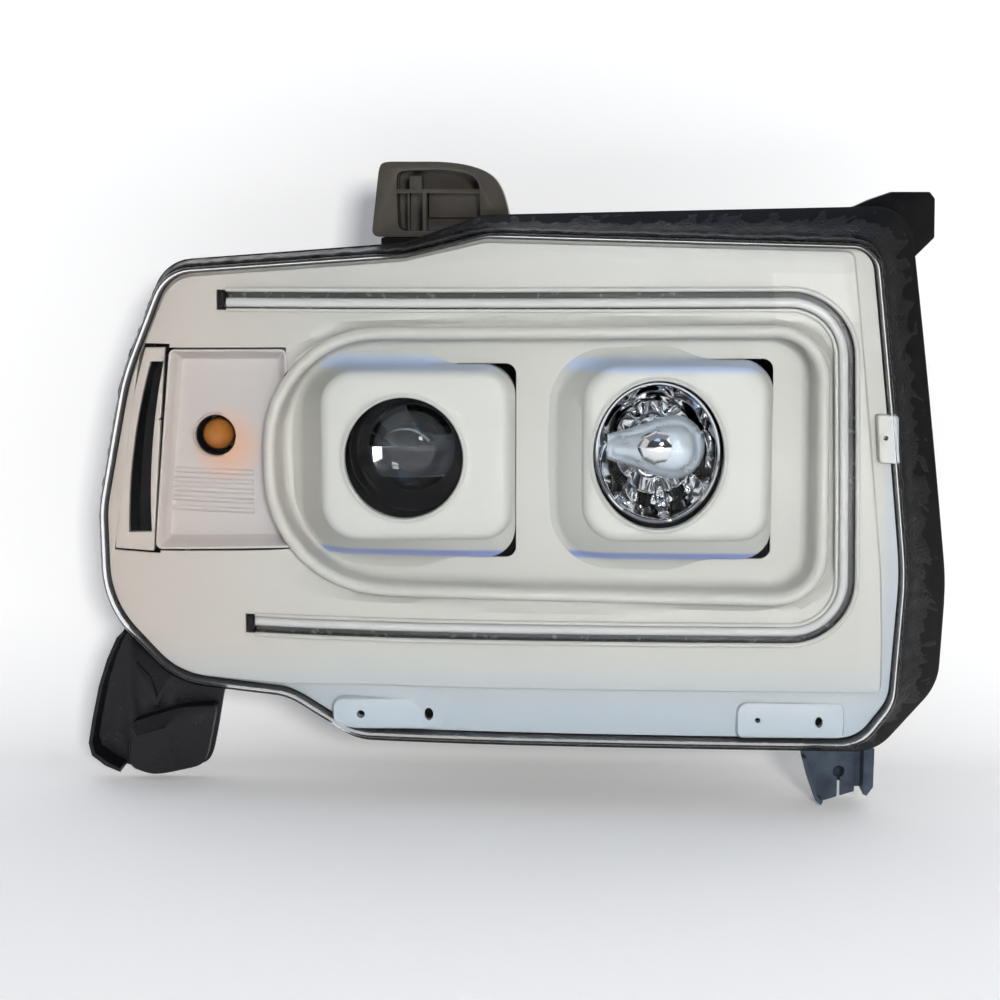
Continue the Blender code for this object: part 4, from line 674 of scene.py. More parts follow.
def housing():
    """Black case: channel rim, walls, deep back, necks, bosses and ribs."""
    front, floor, back = CHANNEL_FRONT, CHANNEL_FLOOR, CHANNEL_BACK
    middle = [eased(0.0, 1.0, t) for t in (0.33, 0.66)]
    outside = [
        swept(grown(FACE, 0.0036), front), swept(grown(FACE, 0.0052), front - 0.0003),
        swept(grown(RIM, -0.0015), front + 0.0066), swept(RIM, front + 0.0078), swept(RIM, front + 0.0106),
        swept(grown(RIM, -0.0008), front + 0.0112),
        swept(grown(FACE, 0.0050), back), swept(grown(FACE, -0.0020), back + 0.0010),
    ]
    wall_top, wall_end = outside[-1], level(grown(FACE, -0.0200), MIDDLE_Y)
    outside += [[a.lerp(b, t) for a, b in zip(wall_top, wall_end)] for t in (0.3, 0.6, 0.93)]
    outside += [level(grown(FACE, -0.0225), MIDDLE_Y)]
    deep_top, deep_end = level(DEEP, MIDDLE_Y), level(grown(DEEP, -0.0030), REAR_Y)
    outside += [[a.lerp(b, t) for a, b in zip(outside[-1], deep_top)] for t in middle]
    outside += [level(grown(DEEP, 0.0015), MIDDLE_Y), level(grown(DEEP, -0.0002), MIDDLE_Y + 0.0025)]
    outside += [[a.lerp(b, t) for a, b in zip(deep_top, deep_end)] for t in (0.4, 0.93)]
    outside += [level(grown(DEEP, -0.0045), REAR_Y - 0.0006), level(grown(DEEP, -0.0070), REAR_Y)]
    inside = [
        swept(grown(FACE, 0.0036), floor), swept(grown(FACE, -0.0012), floor),
        swept(grown(FACE, -0.0012), front + 0.002), swept(grown(FACE, -0.0036), front + 0.002),
        swept(grown(FACE, -0.0048), back), level(grown(FACE, -0.0225), MIDDLE_Y - WALL),
        level(grown(DEEP, -WALL), MIDDLE_Y - WALL), level(grown(DEEP, -0.0030 - WALL), REAR_Y - WALL),
    ]
    obj = shell("housing", outside, inside)
    ear = [
        (0.195, 0.150), (0.2105, 0.1705), (0.2268, 0.1778), (0.2412, 0.1828), (0.2655, 0.1828), (0.2690, 0.1785),
        (0.2694, 0.1535), (0.2560, 0.1400), (0.2565, 0.1180), (0.2300, 0.1180),
    ]
    added = [bevel(prism("ear", ear, 0.0480, 0.0575), 0.0008)]
    for axis in (LOW_AXIS, HIGH_AXIS):
        back_y = REAR_Y + NECK_LENGTH
        profile = [
            (0.0, REAR_Y - 0.002), (NECK + 0.002, REAR_Y - 0.002), (NECK, REAR_Y + 0.0015), (NECK, back_y),
            (0.0, back_y),
        ]
        added.append(turned("neck", axis, softened(profile), 72))
    added += [
        rod("turn_boss", TURN_AXIS, 0.0190, MIDDLE_Y - 0.002, MIDDLE_Y + 0.004),
        rod("side_boss", SIDE_AXIS, 0.0120, MIDDLE_Y - 0.002, MIDDLE_Y + 0.004),
        rod("adjuster_boss", centre_of("adjuster_screw"), 0.0085, MIDDLE_Y - 0.006, MIDDLE_Y + 0.003),
        bevel(box("tower_pad", (-0.091, 0.0685, 0.122), (-0.010, 0.0955, 0.1530)), 0.0010),
        bevel(box("inboard_lug", (0.1960, 0.0505, -0.1860), (0.2280, 0.0616, -0.1650)), 0.0008),
        rod("outboard_screw_boss", OUTBOARD_SCREW, 0.0055, MIDDLE_Y - 0.0095, MIDDLE_Y - 0.0010, 24),
    ]
    for x in PIVOTS_X:
        added.append(rod("stud_boss", (x, PIVOT_Z), 0.0075, MIDDLE_Y - 0.012, MIDDLE_Y - 0.001, 24))
    added += [box("rib", low, high) for low, high in back_ribs()]
    join(obj, *added)
    holes = [rod("bore", axis, NECK - 0.003, REAR_Y - 0.006, REAR_Y + 0.02, 72) for axis in (LOW_AXIS, HIGH_AXIS)]
    holes += [
        rod("turn_bore", TURN_AXIS, 0.0150, MIDDLE_Y - 0.010, MIDDLE_Y + 0.010),
        rod("side_bore", SIDE_AXIS, 0.0090, MIDDLE_Y - 0.010, MIDDLE_Y + 0.010),
        rod("adjuster_bore", centre_of("adjuster_screw"), 0.0056, MIDDLE_Y - 0.010, MIDDLE_Y + 0.010, 24),
        rod("tower_bore", TOWER_SCREW, 0.0028, 0.0830, 0.1100, 16),
        rod("inboard_bore", INBOARD_SCREW, 0.0026, 0.0550, 0.0700, 16),
        rod("outboard_bore", OUTBOARD_SCREW, 0.0028, MIDDLE_Y - 0.0080, MIDDLE_Y + 0.01, 16),
    ]
    cut(obj, *holes)
    piece(obj, "housing_shell", "housing", replaces=("housing",), angle=32)


def sealant():
    """Ragged bead of butyl that fills the step between the cover's skirt and the housing's rim."""
    fine_face, fine_rim = refined(FACE, FACE, 0.0032), refined(RIM, FACE, 0.0032)
    inner, outer = rounded(grown(fine_face, 0.0037), 16), rounded(grown(fine_rim, -0.0004), 16)
    section = [
        (0.00, 0.0012), (0.00, -0.0010), (0.03, -0.0036), (0.10, -0.0052), (0.20, -0.0050), (0.32, -0.0030),
        (0.45, -0.0016), (0.58, -0.0008), (0.72, -0.0004), (0.86, -0.0003), (0.97, 0.0004), (1.00, 0.0022),
        (0.97, 0.0050),
    ]
    rings = []
    for k, (share, height) in enumerate(section):
        ring = []
        for a, b in zip(inner, outer):
            p = a.lerp(b, share)
            base = CHANNEL_FRONT + 0.0075 * share
            rough = 0.0
            if 0 < k < len(section) - 1:
                rough = (
                    noise.noise(Vector((p.x, p.y, 0.3)) * 130.0) * 0.0011
                    + noise.noise(Vector((p.x, p.y, 1.7)) * 420.0) * 0.0006
                )
                side = noise.noise(Vector((p.x, p.y, 5.1)) * 200.0) * 0.0011 * min(1.0, 4 * share)
                p = p + (b - a).normalized() * min(0.0, side - 0.0003)
            q = on_face(p, base + height + rough)
            ring.append(q)
        rings.append(ring)
    obj = loft("sealant", rings, closed=True)
    piece(obj, "sealant_bead", "sealant", angle=60)
    rings = []
    for k, (offset, depth) in enumerate((
        (0.0032, 0.0260), (0.0032, 0.0048), (0.0037, 0.0038), (0.0046, 0.0042), (0.0053, 0.0080), (0.0058, 0.0170),
        (0.0068, 0.0240), (0.0068, 0.0260),
    )):
        ring = []
        for p, q in zip(rounded(grown(fine_face, offset), 16), rounded(grown(fine_face, offset + 0.001), 16)):
            rough = 0.0
            if 2 <= k <= 6:
                rough = (
                    0.7 * noise.noise(Vector((p.x, p.y, 9.3)) * 150.0)
                    + 0.4 * noise.noise(Vector((p.x, p.y, 2.2)) * 430.0)
                )
            ring.append(on_face(p + (q - p) * max(-0.4, rough), depth - 0.0006 * rough))
        rings.append(ring)
    piece(loft("collar", rings, closed=True), "skirt_collar", "sealant", angle=60)


# ---------------------------------------------------------------- inner trim
def ray_to(outline, centre, towards):
    """Where the line from a centre through a point crosses a closed outline."""
    d = towards - centre
    best = None
    for i, a in enumerate(outline):
        b = outline[(i + 1) % len(outline)]
        e, w = b - a, a - centre
        cross = d.x * e.y - d.y * e.x
        if abs(cross) < 1e-12:
            continue
        t = (w.x * e.y - w.y * e.x) / cross
        u = (w.x * d.y - w.y * d.x) / cross
        if t > 0 and -1e-9 <= u <= 1 + 1e-9 and (best is None or t < best):
            best = t
    return centre + d * best


def valley(share_width):
    """Extra depth of the bezel near the tray's rim, at this distance outside it."""
    return eased(0.0048, 0.0, (share_width - 0.0010) / 0.0085)


def bezel():
    """Main trim: a crowned face with a valley round the tray, a rounded crease and a flange with pads."""
    outer = rounded(grown(CREASE, -0.0012))
    tray = rounded(grown(TRAY_RIM, -0.0040))
    centre = Vector((0.018, 0.006))
    inner = [ray_to(tray, centre, p) for p in outer]
    shares = [0.0, 0.06, 0.13, 0.20, 0.27, 0.34, 0.42, 0.50, 0.60, 0.72, 0.85, 1.0]
    top, under = [], []
    for share in shares:
        row = []
        for a, b in zip(inner, outer):
            gap = (b - a).length
            p = a.lerp(b, share)
            row.append(on_face(p, valley(gap * share - 0.0040)))
        top.append(row)
        under.append([Vector((p.x, p.y + TRIM, p.z)) for p in row])
    edge = grown(FACE, -0.0006)
    rings = top + [
        swept(grown(CREASE, -0.0004), 0.0003), swept(CREASE, 0.0011), swept(grown(CREASE, 0.0003), 0.0045),
        swept(grown(CREASE, 0.0008), 0.0082), swept(grown(CREASE, 0.0020), 0.0096), swept(edge, 0.0105),
        swept(edge, 0.0125), swept(grown(CREASE, -0.0020), 0.0125),
    ] + list(reversed(under))
    obj = loft("bezel", rings, closed=True)
    holes = [
        (-0.104, -0.1620, 0.0027), (-0.0585, -0.1615, 0.0030), (0.1585, -0.1600, 0.0018), (0.1985, -0.1610, 0.0025),
    ]
    added = []
    for x0, x1, z0, z1 in ((-0.122, -0.050, -0.1716, -0.1520), (0.146, 0.214, -0.1716, -0.1490)):
        depth = face_depth((x0 + x1) / 2, -0.16)
        corners = refined([(x0, z1, 0.006), (x1, z1, 0.004), (x1, z0, 0.003), (x0, z0, 0.003)])
        added.append(loft("pad", [
            level(grown(corners, 0.0016), depth + 0.0122, 6), level(grown(corners, 0.0012), depth + 0.0092, 6),
            level(grown(corners, 0.0002), depth + 0.0074, 6), level(grown(corners, -0.0010), depth + 0.0071, 6),
        ]))
    join(obj, *added)
    half = 0.0066
    cutters = [
        prism("turn_opening", TURN_WINDOW, -0.1, 0.3),
        prism(
            "slot_opening", [(-0.2505, 0.0835), (-0.230, 0.0835), (-0.240, -0.0575), (-0.2740, -0.0575)], -0.1, 0.3,
        ),
        bar_loft("bar_slot", [(-half, -0.01), (half, -0.01), (half, 0.02), (-half, 0.02)]),
    ]
    for i, (x, z, _) in enumerate((BAR_CORNERS[0], BAR_CORNERS[3])):
        cutters.append(box(f"notch_{i}", (x - 0.0068, -0.05, z - half), (x + 0.0010, 0.1, z + half)))
    for i, (x, z, radius) in enumerate(holes):
        tall = 1.45 if i in (1, 3) else 1.0
        ring = [
            (x + radius * math.cos(a), z + radius * tall * math.sin(a))
            for a in (math.tau * k / 20 for k in range(20))
        ]
        cutters.append(prism(f"hole_{i}", ring, -0.05, 0.1))
    cut(obj, *cutters)
    piece(obj, "bezel_trim", "satin", replaces=("bezel",), angle=30)
    side_pad()


def side_pad():
    """Small pad with a screw hole on the inboard edge."""
    x, z = SIDE_PAD_HOLE
    corners = refined([
        (x - 0.0062, z + 0.0145, 0.002), (x + 0.0072, z + 0.0140, 0.002), (x + 0.0082, z - 0.0165, 0.002),
        (x - 0.0040, z - 0.0160, 0.002),
    ])
    rings = [swept(grown(corners, by), d, 4) for by, d in ((0.0, 0.0110), (0.0, 0.0006), (-0.0008, -0.0004))]
    obj = loft("side_pad", rings)
    ring = turned(
        "side_pad_ring", (x - 0.0008, z), [(0.0016, 0.002), (0.0016, -0.0018), (0.0030, -0.0018), (0.0034, 0.002)],
        28, ring=True,
    )
    ring.data.transform(Matrix.Translation((0.0, face_depth(x, z) + 0.0002, 0.0)))
    join(obj, ring)
    cut(obj, rod("side_hole", (x - 0.0008, z), 0.0016, -0.05, 0.008, 24))
    piece(obj, "bezel_side_pad", "satin", angle=30)


def bar_path(spacing=0.006):
    """Points along the light bar with the direction across it."""
    flat = rounded(refined(BAR_CORNERS, None, 1.0), 14)
    points = []
    for a, b in zip(flat, flat[1:]):
        pieces = max(1, round((b - a).length / spacing))
        points += [a + (b - a) * (k / pieces) for k in range(pieces)]
    points.append(flat[-1])
    for i, p in enumerate(points):
        along = (points[min(i + 1, len(points) - 1)] - points[max(i - 1, 0)]).normalized()
        yield p, Vector((-along.y, along.x))


def bar_loft(name, section):
    """A section carried along the light bar."""
    rings = []
    for p, side in bar_path():
        depth = face_depth(p.x, p.y)
        across = [p + side * s for s, _ in section]
        rings.append([Vector((q.x, depth + d, q.y)) for q, (_, d) in zip(across, section)])
    return loft(name, rings)


def light_bar():
    """Bright lips, a channel whose inner faces are painted dark as shadow, and a pale rod that lies against the
    channel's inner side.
    """
    section = [
        (-0.0077, -0.0006), (-0.0075, -0.0018), (-0.0068, -0.0026), (-0.0058, -0.0027), (-0.0053, -0.0020),
        (-0.0052, 0.0060), (0.0052, 0.0060), (0.0053, -0.0020), (0.0058, -0.0030), (0.0064, -0.0036),
        (0.0071, -0.0037), (0.0079, -0.0032), (0.0084, -0.0020), (0.0086, -0.0006), (0.0062, -0.0006),
        (0.0062, 0.0074), (-0.0062, 0.0074), (-0.0062, -0.0006),
    ]
    channel = bar_loft("channel", section)
    piece(channel, "light_bar_carrier", "satin", replaces=("light_bar_channel",), angle=30)
    # the channel's inner side faces get the painted shadow finish
    channel.data.materials.append(MATERIALS["painted_shadow_chrome"])
    per_ring = len(section)
    for face in channel.data.polygons:
        places = [v % per_ring for v in face.vertices]
        if len(places) == 4 and min(places) in (4, 5, 6) and max(places) <= 7:
            face.material_index = 1
    angles = [math.tau * k / 20 for k in range(20)]
    guide = bar_loft("guide", [(-0.0017 + 0.0033 * math.cos(a), 0.0014 + 0.0036 * math.sin(a)) for a in angles])
    piece(guide, "light_bar_rod", "guide", replaces=("light_bar_guide",), angle=50)
    for node, name, corner in (
        ("light_bar_board_upper", "upper_diode_board", 0), ("light_bar_board_lower", "lower_diode_board", 3),
    ):
        x, z, _ = BAR_CORNERS[corner]
        y = face_depth(x, z)
        board = bevel(
            box(name, (x - 0.0062, y - 0.0010, z - 0.0058), (x - 0.0016, y + 0.0066, z + 0.0058)), 0.0012, 3,
        )
        join(board, box("diode", (x - 0.0024, y + 0.0004, z - 0.0014), (x - 0.0009, y + 0.0032, z + 0.0014)))
        piece(board, name, "trim", replaces=(node,))


def recess_panel():
    """Tray both beams sit in, with a rolled lip and a ledge half way down."""
    lip = [
        (0.0000, 0.0006), (-0.0002, -0.0014), (-0.0009, -0.0028), (-0.0020, -0.0037), (-0.0034, -0.0041),
        (-0.0050, -0.0038), (-0.0064, -0.0029), (-0.0076, -0.0014),
    ]
    under = [(-0.0020, 0.0010), (-0.0024, -0.0010), (-0.0040, -0.0018), (-0.0056, 0.0004)]
    front = [swept(grown(TRAY_RIM, by), d) for by, d in lip]
    back = [swept(grown(TRAY_RIM, by), d) for by, d in under]
    lip_end = swept(grown(TRAY_RIM, -0.0082), 0.0004)
    floor_top = swept(grown(TRAY_FLOOR, 0.0042), TRAY_DEPTH - 0.0065)
    ledge = ((0.0, 0.0), (0.34, 0.0), (0.44, 0.0009), (0.50, 0.0024), (0.56, 0.0030), (0.85, 0.0010), (1.0, 0.0))
    for share, step in ledge:
        row = [a.lerp(b, share) for a, b in zip(lip_end, floor_top)]
        front.append([Vector((p.x, p.y - step, p.z)) for p in row])
    for k in range(1, 6):
        a = math.pi / 2 * k / 5
        front.append(
            swept(grown(TRAY_FLOOR, 0.0042 - 0.0062 * (1 - math.cos(a))), TRAY_DEPTH - 0.0065 + 0.0065 * math.sin(a))
        )
    back += [
        swept(grown(TRAY_FLOOR, 0.0066), TRAY_DEPTH - 0.0055), swept(grown(TRAY_FLOOR, 0.0016), TRAY_DEPTH + TRIM),
    ]
    last_front, last_back, centre = front[-1], back[-1], (0.018, 0.008)
    for share in (0.9, 0.78, 0.66, 0.54, 0.42, 0.30, 0.18, 0.06):
        front.append(shrunk(last_front, share, centre, TRAY_DEPTH))
        back.append(shrunk(last_back, share, centre, TRAY_DEPTH + TRIM))
    obj = shell("recess_panel", front, back)
    cutters = []
    for base in (LOW_POD_BASE, HIGH_POD_BASE):
        opening = [(x, z, 0.007 if x > base[0][0] + 0.01 else radius) for x, z, radius in grown(base, 0.0005)]
        cutters.append(prism("pod_opening", rounded(opening, 8), -0.1, 0.3))
    cut(obj, *cutters)
    piece(obj, "recess_tray", "satin", replaces=("recess_panel",), angle=32)


def resampled(ring, count, axis):
    """The ring's outline met by rays from an axis at even angles."""
    flat = [Vector((p.x, p.z)) for p in ring]
    centre = Vector(axis)
    result = []
    for k in range(count):
        a = math.tau * k / count
        result.append(ray_to(flat, centre, centre + Vector((math.cos(a), math.sin(a)))))
    return result


def pod(name, face, base, y, axis, hole, node):
    """Rounded-square shroud: a skirt over the tray, flared walls, a rounded shoulder and a lipped opening."""
    count = 144
    face, base = refined(face), refined(base)

    def around(corners, depth, flat, skirt=0.0):
        points = resampled([Vector((p.x, 0, p.y)) for p in rounded(corners, 12)], count, axis)
        if skirt:
            moved = []
            for p in points:
                away = (p - Vector(axis)).normalized()
                moved.append(p + away * skirt * eased(0.0, 1.0, (0.55 - away.x) / 0.5))
            points = moved
        return [Vector((p.x, depth if flat else face_depth(p.x, p.y) + depth, p.y)) for p in points]

    def ellipse(by, depth):
        return oval(axis, hole[0] + by, hole[1] + by, depth, count)

    skirt = TRAY_DEPTH
    shoulder = around(grown(face, 0.0008), y + 0.0058, True)
    front = [
        around(base, skirt + 0.0006, False, 0.0088), around(base, skirt - 0.0002, False, 0.0084),
        around(base, skirt - 0.0010, False, 0.0052), around(base, skirt - 0.0026, False, 0.0022),
        around(base, skirt - 0.0052, False, 0.0002),
    ]
    foot = front[-1]
    front += [[a.lerp(b, t) for a, b in zip(foot, shoulder)] for t in (0.35, 0.7, 1.0)]
    for by, depth in ((0.0004, 0.0040), (-0.0006, 0.0024), (-0.0020, 0.0011), (-0.0038, 0.0003), (-0.0058, 0.0)):
        front.append(around(grown(face, by), y + depth, True))
    flat, lip_foot = front[-1], ellipse(0.0030, y)
    front += [[a.lerp(b, t) for a, b in zip(flat, lip_foot)] for t in (0.3, 0.6, 0.85, 1.0)]
    for by, depth in (
        (0.0023, -0.0004), (0.0016, -0.0010), (0.0009, -0.0012), (0.0002, -0.0008), (-0.0001, 0.0004),
        (-0.0001, 0.0048),
    ):
        front.append(ellipse(by, y + depth))
    back = [
        around(base, 0.031, False), around(grown(base, -TRIM), 0.031, False),
        around(grown(face, 0.0006 - TRIM), y + 0.0060, True),
        around(grown(face, -0.0055), y + TRIM + 0.0004, True), ellipse(TRIM, y + TRIM),
        ellipse(TRIM - 0.0004, y + 0.0048),
    ]
    obj = loft(name, front + list(reversed(back)), closed=True)
    piece(obj, name, "pod", replaces=(node,), angle=32)


def turn_compartment():
    """Turn signal's pocket with its flutes and the collar round its bulb."""
    rim = refined([
        (x, z, 0.004) for x, z in ((-0.2305, 0.0797), (-0.150, 0.0817), (-0.146, -0.0485), (-0.2435, -0.0547))
    ])
    depth, centre = 0.016, (-0.192, 0.012)
    outside = [
        swept(grown(rim, by), d, 4) for by, d in ((0.0, 0.0006), (0.0, depth + TRIM - 0.002), (-0.0022, depth + TRIM))
    ]
    inside = [
        swept(grown(rim, by), d, 4)
        for by, d in (
            (-0.0012, 0.0006), (-0.0022, 0.0020), (-0.0040, 0.0090), (-0.0056, depth - 0.0030),
            (-0.0072, depth - 0.0008), (-0.0096, depth),
        )
    ]
    last_out, last_in = outside[-1], inside[-1]
    for share in (0.85, 0.65, 0.45, 0.25, 0.08):
        outside.append(shrunk(last_out, share, centre, depth + TRIM))
        inside.append(shrunk(last_in, share, centre, depth))
    obj = shell("pocket", outside, inside)
    added = []
    for i in range(5):
        z = -0.0020 - 0.0064 * i
        section = [
            (-0.0024, 0.0006), (-0.0014, -0.0009), (-0.0004, -0.0016), (0.0010, -0.0016), (0.0019, -0.0006),
            (0.0021, 0.0006),
        ]
        rings = []
        for k in range(15):
            x = -0.2355 + 0.0600 * k / 14
            d = face_depth(x, z) + depth
            rings.append([Vector((x, d + e, z + s)) for s, e in section])
        added.append(loft(f"flute_{i}", rings))
    collar = [(0.0138, 0.0006), (0.0138, -0.0020), (0.0144, -0.0026), (0.0151, -0.0018), (0.0155, 0.0006)]
    y = face_depth(*TURN_AXIS) + depth + 0.0008
    cut(
        obj, rod("turn_hole", TURN_AXIS, 0.0137, 0.02, 0.12, 64),
        prism("rim_clearance", rounded(grown(TRAY_RIM, 0.0004), 10), -0.1, 0.3),
    )
    join(obj, *added, turned("collar", TURN_AXIS, [(r, y + d) for r, d in collar], 60, ring=True))
    piece(obj, "turn_pocket", "pocket", replaces=("turn_reflector",), angle=32)

    tube = turned(
        "turn_tube", TURN_AXIS,
        [(0.0136, y + 0.0004), (0.0130, y + 0.0010), (0.0122, y + 0.0240), (0.0136, y + 0.0240)], 40, ring=True,
    )
    piece(tube, "turn_socket_tube", "trim")


def side_marker():
    """Frame with the long dark slot, its ledge and the notch beside the turn pocket."""
    rows, columns = 26, 8

    def strip(corners, near, far, name, bow=0.85):
        tl, tr, br, bl = (Vector(c) for c in corners)
        rings = []
        for r in range(rows + 1):
            sag = Vector((-4 * SLOT_BOW * (r / rows) * (1 - r / rows), 0.0))
            left, right = tl.lerp(bl, r / rows) + sag, tr.lerp(br, r / rows) + sag * bow
            across = [left.lerp(right, c / columns) for c in range(columns + 1)]
            rings.append([on_face(p, near) for p in across] + [on_face(p, far) for p in reversed(across)])
        return loft(name, rings)

    obj = strip(SLOT_FRAME, 0.0004, 0.0056, "slot_frame", 0.0)
    cut(obj, strip(SLOT, -0.02, 0.03, "slot_cut"), box("notch", (-0.2385, 0.0, 0.0325), (-0.2330, 0.2, 0.0340)))
    piece(bevel(obj, 0.0006, 2, 40), "side_marker_bezel", "satin", replaces=("side_marker_frame",))

    outer = [
        (-0.2455, 0.0722), (-0.2335, 0.0722), (-0.2455, -0.0560), (-0.2330, -0.0590), (-0.2330, -0.0770),
        (-0.2580, -0.0770), (-0.2655, -0.0560), (-0.2650, -0.0300), (-0.2628, 0.0000), (-0.2592, 0.0300),
        (-0.2530, 0.0600),
    ]
    well = prism("well", outer, 0.0724, 0.1060)
    inner = [corner[:2] for corner in grown([(x, z, 0.0) for x, z in outer], -0.0018)]
    cut(
        well, prism("hollow", inner, 0.05, 0.1042),
        box("window", (-0.2800, 0.0800, -0.0740), (-0.2500, 0.1000, -0.0590)),
        rod("bulb_hole", SIDE_AXIS, 0.0062, 0.09, 0.12, 24),
    )
    piece(bevel(well, 0.0004, 2, 40), "side_marker_box", "trim", replaces=("side_marker_well",))

    outline = [p for p in rounded(grown(FACE, -0.0012)) if p.x < -0.2 and -0.085 < p.y < 0.062]
    outline.sort(key=lambda p: p.y)
    rings = []
    for p in outline:
        corners = (
            (p.x, 0.0135), (p.x + 0.0030, 0.0135), (p.x + 0.0030, CHANNEL_FRONT + 0.001),
            (p.x, CHANNEL_FRONT + 0.001),
        )
        rings.append([Vector((x, face_depth(x, p.y) + d, p.y)) for x, d in corners])
    piece(bevel(loft("reflex", rings), 0.0005), "side_reflector", "reflex", replaces=("side_reflex",))


# ---------------------------------------------------------------- beams
def projector():
    """Low beam: lens, holder, shroud, cut-off shield and bowl."""
    x, z = LOW_AXIS
    radius = 0.0318
    bulge = [radius * math.sin(math.pi / 2 * k / 18) for k in range(19)]
    lens = [(r, 0.0400 + 0.0130 * (r / radius) ** 2.2) for r in bulge]
    lens += [(radius, 0.0556), (0.0314, 0.0560), (0.0, 0.0560)]
    piece(turned("lens", LOW_AXIS, lens, 96), "low_beam_lens", "glass", "aim_carriage", ("projector_lens",), 40)
    shroud = [
        (0.0386, 0.0322), (0.0391, 0.0317), (0.0396, 0.0317), (0.0401, 0.0323), (0.0355, 0.0420), (0.0355, 0.0590),
        (0.0290, 0.0590), (0.0290, 0.0566), (0.0324, 0.0566), (0.0324, 0.0510), (0.0286, 0.0472), (0.0283, 0.0462),
        (0.0286, 0.0450), (0.0304, 0.0440), (0.0312, 0.0418), (0.0330, 0.0408), (0.0338, 0.0384), (0.0358, 0.0372),
        (0.0366, 0.0346),
    ]
    piece(
        turned("shroud", LOW_AXIS, shroud, 96, ring=True), "low_beam_shroud", "gloss", "aim_carriage",
        ("projector_shroud",), 28,
    )
    barrel = [
        (0.0350, 0.0594), (0.0370, 0.0680), (0.0394, 0.0700), (0.0394, 0.0820), (0.0460, 0.0822), (0.0460, 0.0850),
        (0.0350, 0.0850), (0.0350, 0.0720), (0.0310, 0.0594),
    ]
    obj = turned("barrel", LOW_AXIS, barrel, 72, ring=True)
    piece(obj, "low_beam_barrel", "cast", "aim_carriage", ("projector_barrel",), 30)
    shield = box("shield", (x - 0.030, 0.0760, z - 0.0160), (x + 0.030, 0.0775, z - 0.0010))
    cut(
        shield,
        prism(
            "step", [(x - 0.05, z - 0.0030), (x - 0.05, z + 0.01), (x + 0.004, z + 0.01), (x, z - 0.0030)], 0.07,
            0.09,
        ),
    )
    piece(bevel(shield, 0.0003), "low_beam_cutoff", "chrome", "aim_carriage", ("cutoff_shield",))
    outer = [(0.0450, 0.0854), (0.0450, 0.0880), (0.0400, 0.0890)]
    outer += [
        (0.0170 + 0.0225 * math.cos(math.pi / 2 * t), 0.0900 + 0.0500 * math.sin(math.pi / 2 * t))
        for t in (0.0, 0.2, 0.4, 0.6, 0.8, 0.95)
    ]
    outer += [(0.0170, 0.1410), (0.0170, 0.1480)]
    inner = [(0.0130, 0.1480), (0.0130, 0.1390)]
    inner += [
        (0.0130 + 0.0245 * math.cos(math.pi / 2 * t), 0.0856 + 0.0530 * math.sin(math.pi / 2 * t))
        for t in (0.95, 0.85, 0.7, 0.55, 0.4, 0.25, 0.1, 0.0)
    ]
    piece(
        turned("bowl", LOW_AXIS, outer + inner, 72, ring=True), "low_beam_bowl", "chrome", "aim_carriage",
        ("projector_bowl",), 30,
    )


def high_reflector():
    """Oval bowl pressed into petals, each a dish with a sharp ridge between, behind a bright rolled rim."""
    petals, per, levels = 7, 18, 36
    count, phase = petals * per, 0.35
    half_width, half_height = 0.0385, 0.0440
    known = ((1.0, 0.0262), (0.93, 0.0340), (0.83, 0.0470), (0.68, 0.0600), (0.50, 0.0690), (0.33, 0.0735))
    bands = ((1.0, 0.46), (0.46, 0.33))
    lean = [[random.uniform(-1.0, 1.0) for _ in range(petals)] for _ in bands]

    def depth_at(s):
        for (s1, y1), (s0, y0) in zip(known, known[1:]):
            if s >= s0:
                return y0 + (y1 - y0) * (s - s0) / (s1 - s0)
        return known[-1][1]

    inside = []
    for level_index in range(levels + 1):
        s = 1.0 - 0.67 * level_index / levels
        band = 0 if s >= bands[0][1] else 1
        a, b = bands[band]
        v = min(1.0, max(0.0, (a - s) / (a - b)))
        ring = []
        for k in range(count):
            place = k / per + 0.5 * band
            u = place % 1.0
            dish = 4 * u * (1 - u) * math.sin(math.pi * v) ** 0.5
            swell = 0.085 * (dish - 0.3 * math.sin(math.pi * v))
            grow = 1.0 + swell + 0.02 * lean[band][int(place) % petals] * dish
            angle = math.tau * k / count + phase
            x = HIGH_AXIS[0] + half_width * s * grow * math.cos(angle)
            z = HIGH_AXIS[1] + half_height * s * grow * math.sin(angle)
            ring.append(Vector((x, depth_at(s) + 0.0026 * dish, z)))
        inside.append(ring)

    def around(width, height, y):
        return oval(HIGH_AXIS, width, height, y, count, phase)

    rim = ((0.0030, 0.0275), (0.0032, 0.0262), (0.0026, 0.0251), (0.0016, 0.0246), (0.0006, 0.0251))
    lip = [around(half_width + w, half_height + w, y) for w, y in rim]
    inside = lip + inside + [around(0.0110, 0.0110, y) for y in (0.0760, 0.0900)]
    outside = [around(half_width * s + 0.0030, half_height * s + 0.0030, y + 0.0030) for s, y in known]
    outside += [around(0.0145, 0.0145, y) for y in (0.0800, 0.0900)]
    obj = loft("reflector", inside + list(reversed(outside)), closed=True)
    piece(obj, "high_beam_bowl", "chrome", "aim_carriage", ("high_beam_reflector",), 25)


def spline(table, pieces):
    """Smooth rows between the rows of a table of tuples."""
    result = []
    for i in range(len(table) - 1):
        p0, p1, p2, p3 = table[max(i - 1, 0)], table[i], table[i + 1], table[min(i + 2, len(table) - 1)]
        for k in range(pieces):
            t = k / pieces
            result.append(tuple(
                0.5 * (2 * b + (c - a) * t + (2 * a - 5 * b + 4 * c - d) * t * t + (3 * b - a - 3 * c + d) * t**3)
                for a, b, c, d in zip(p0, p1, p2, p3)
            ))
    return result + [table[-1]]


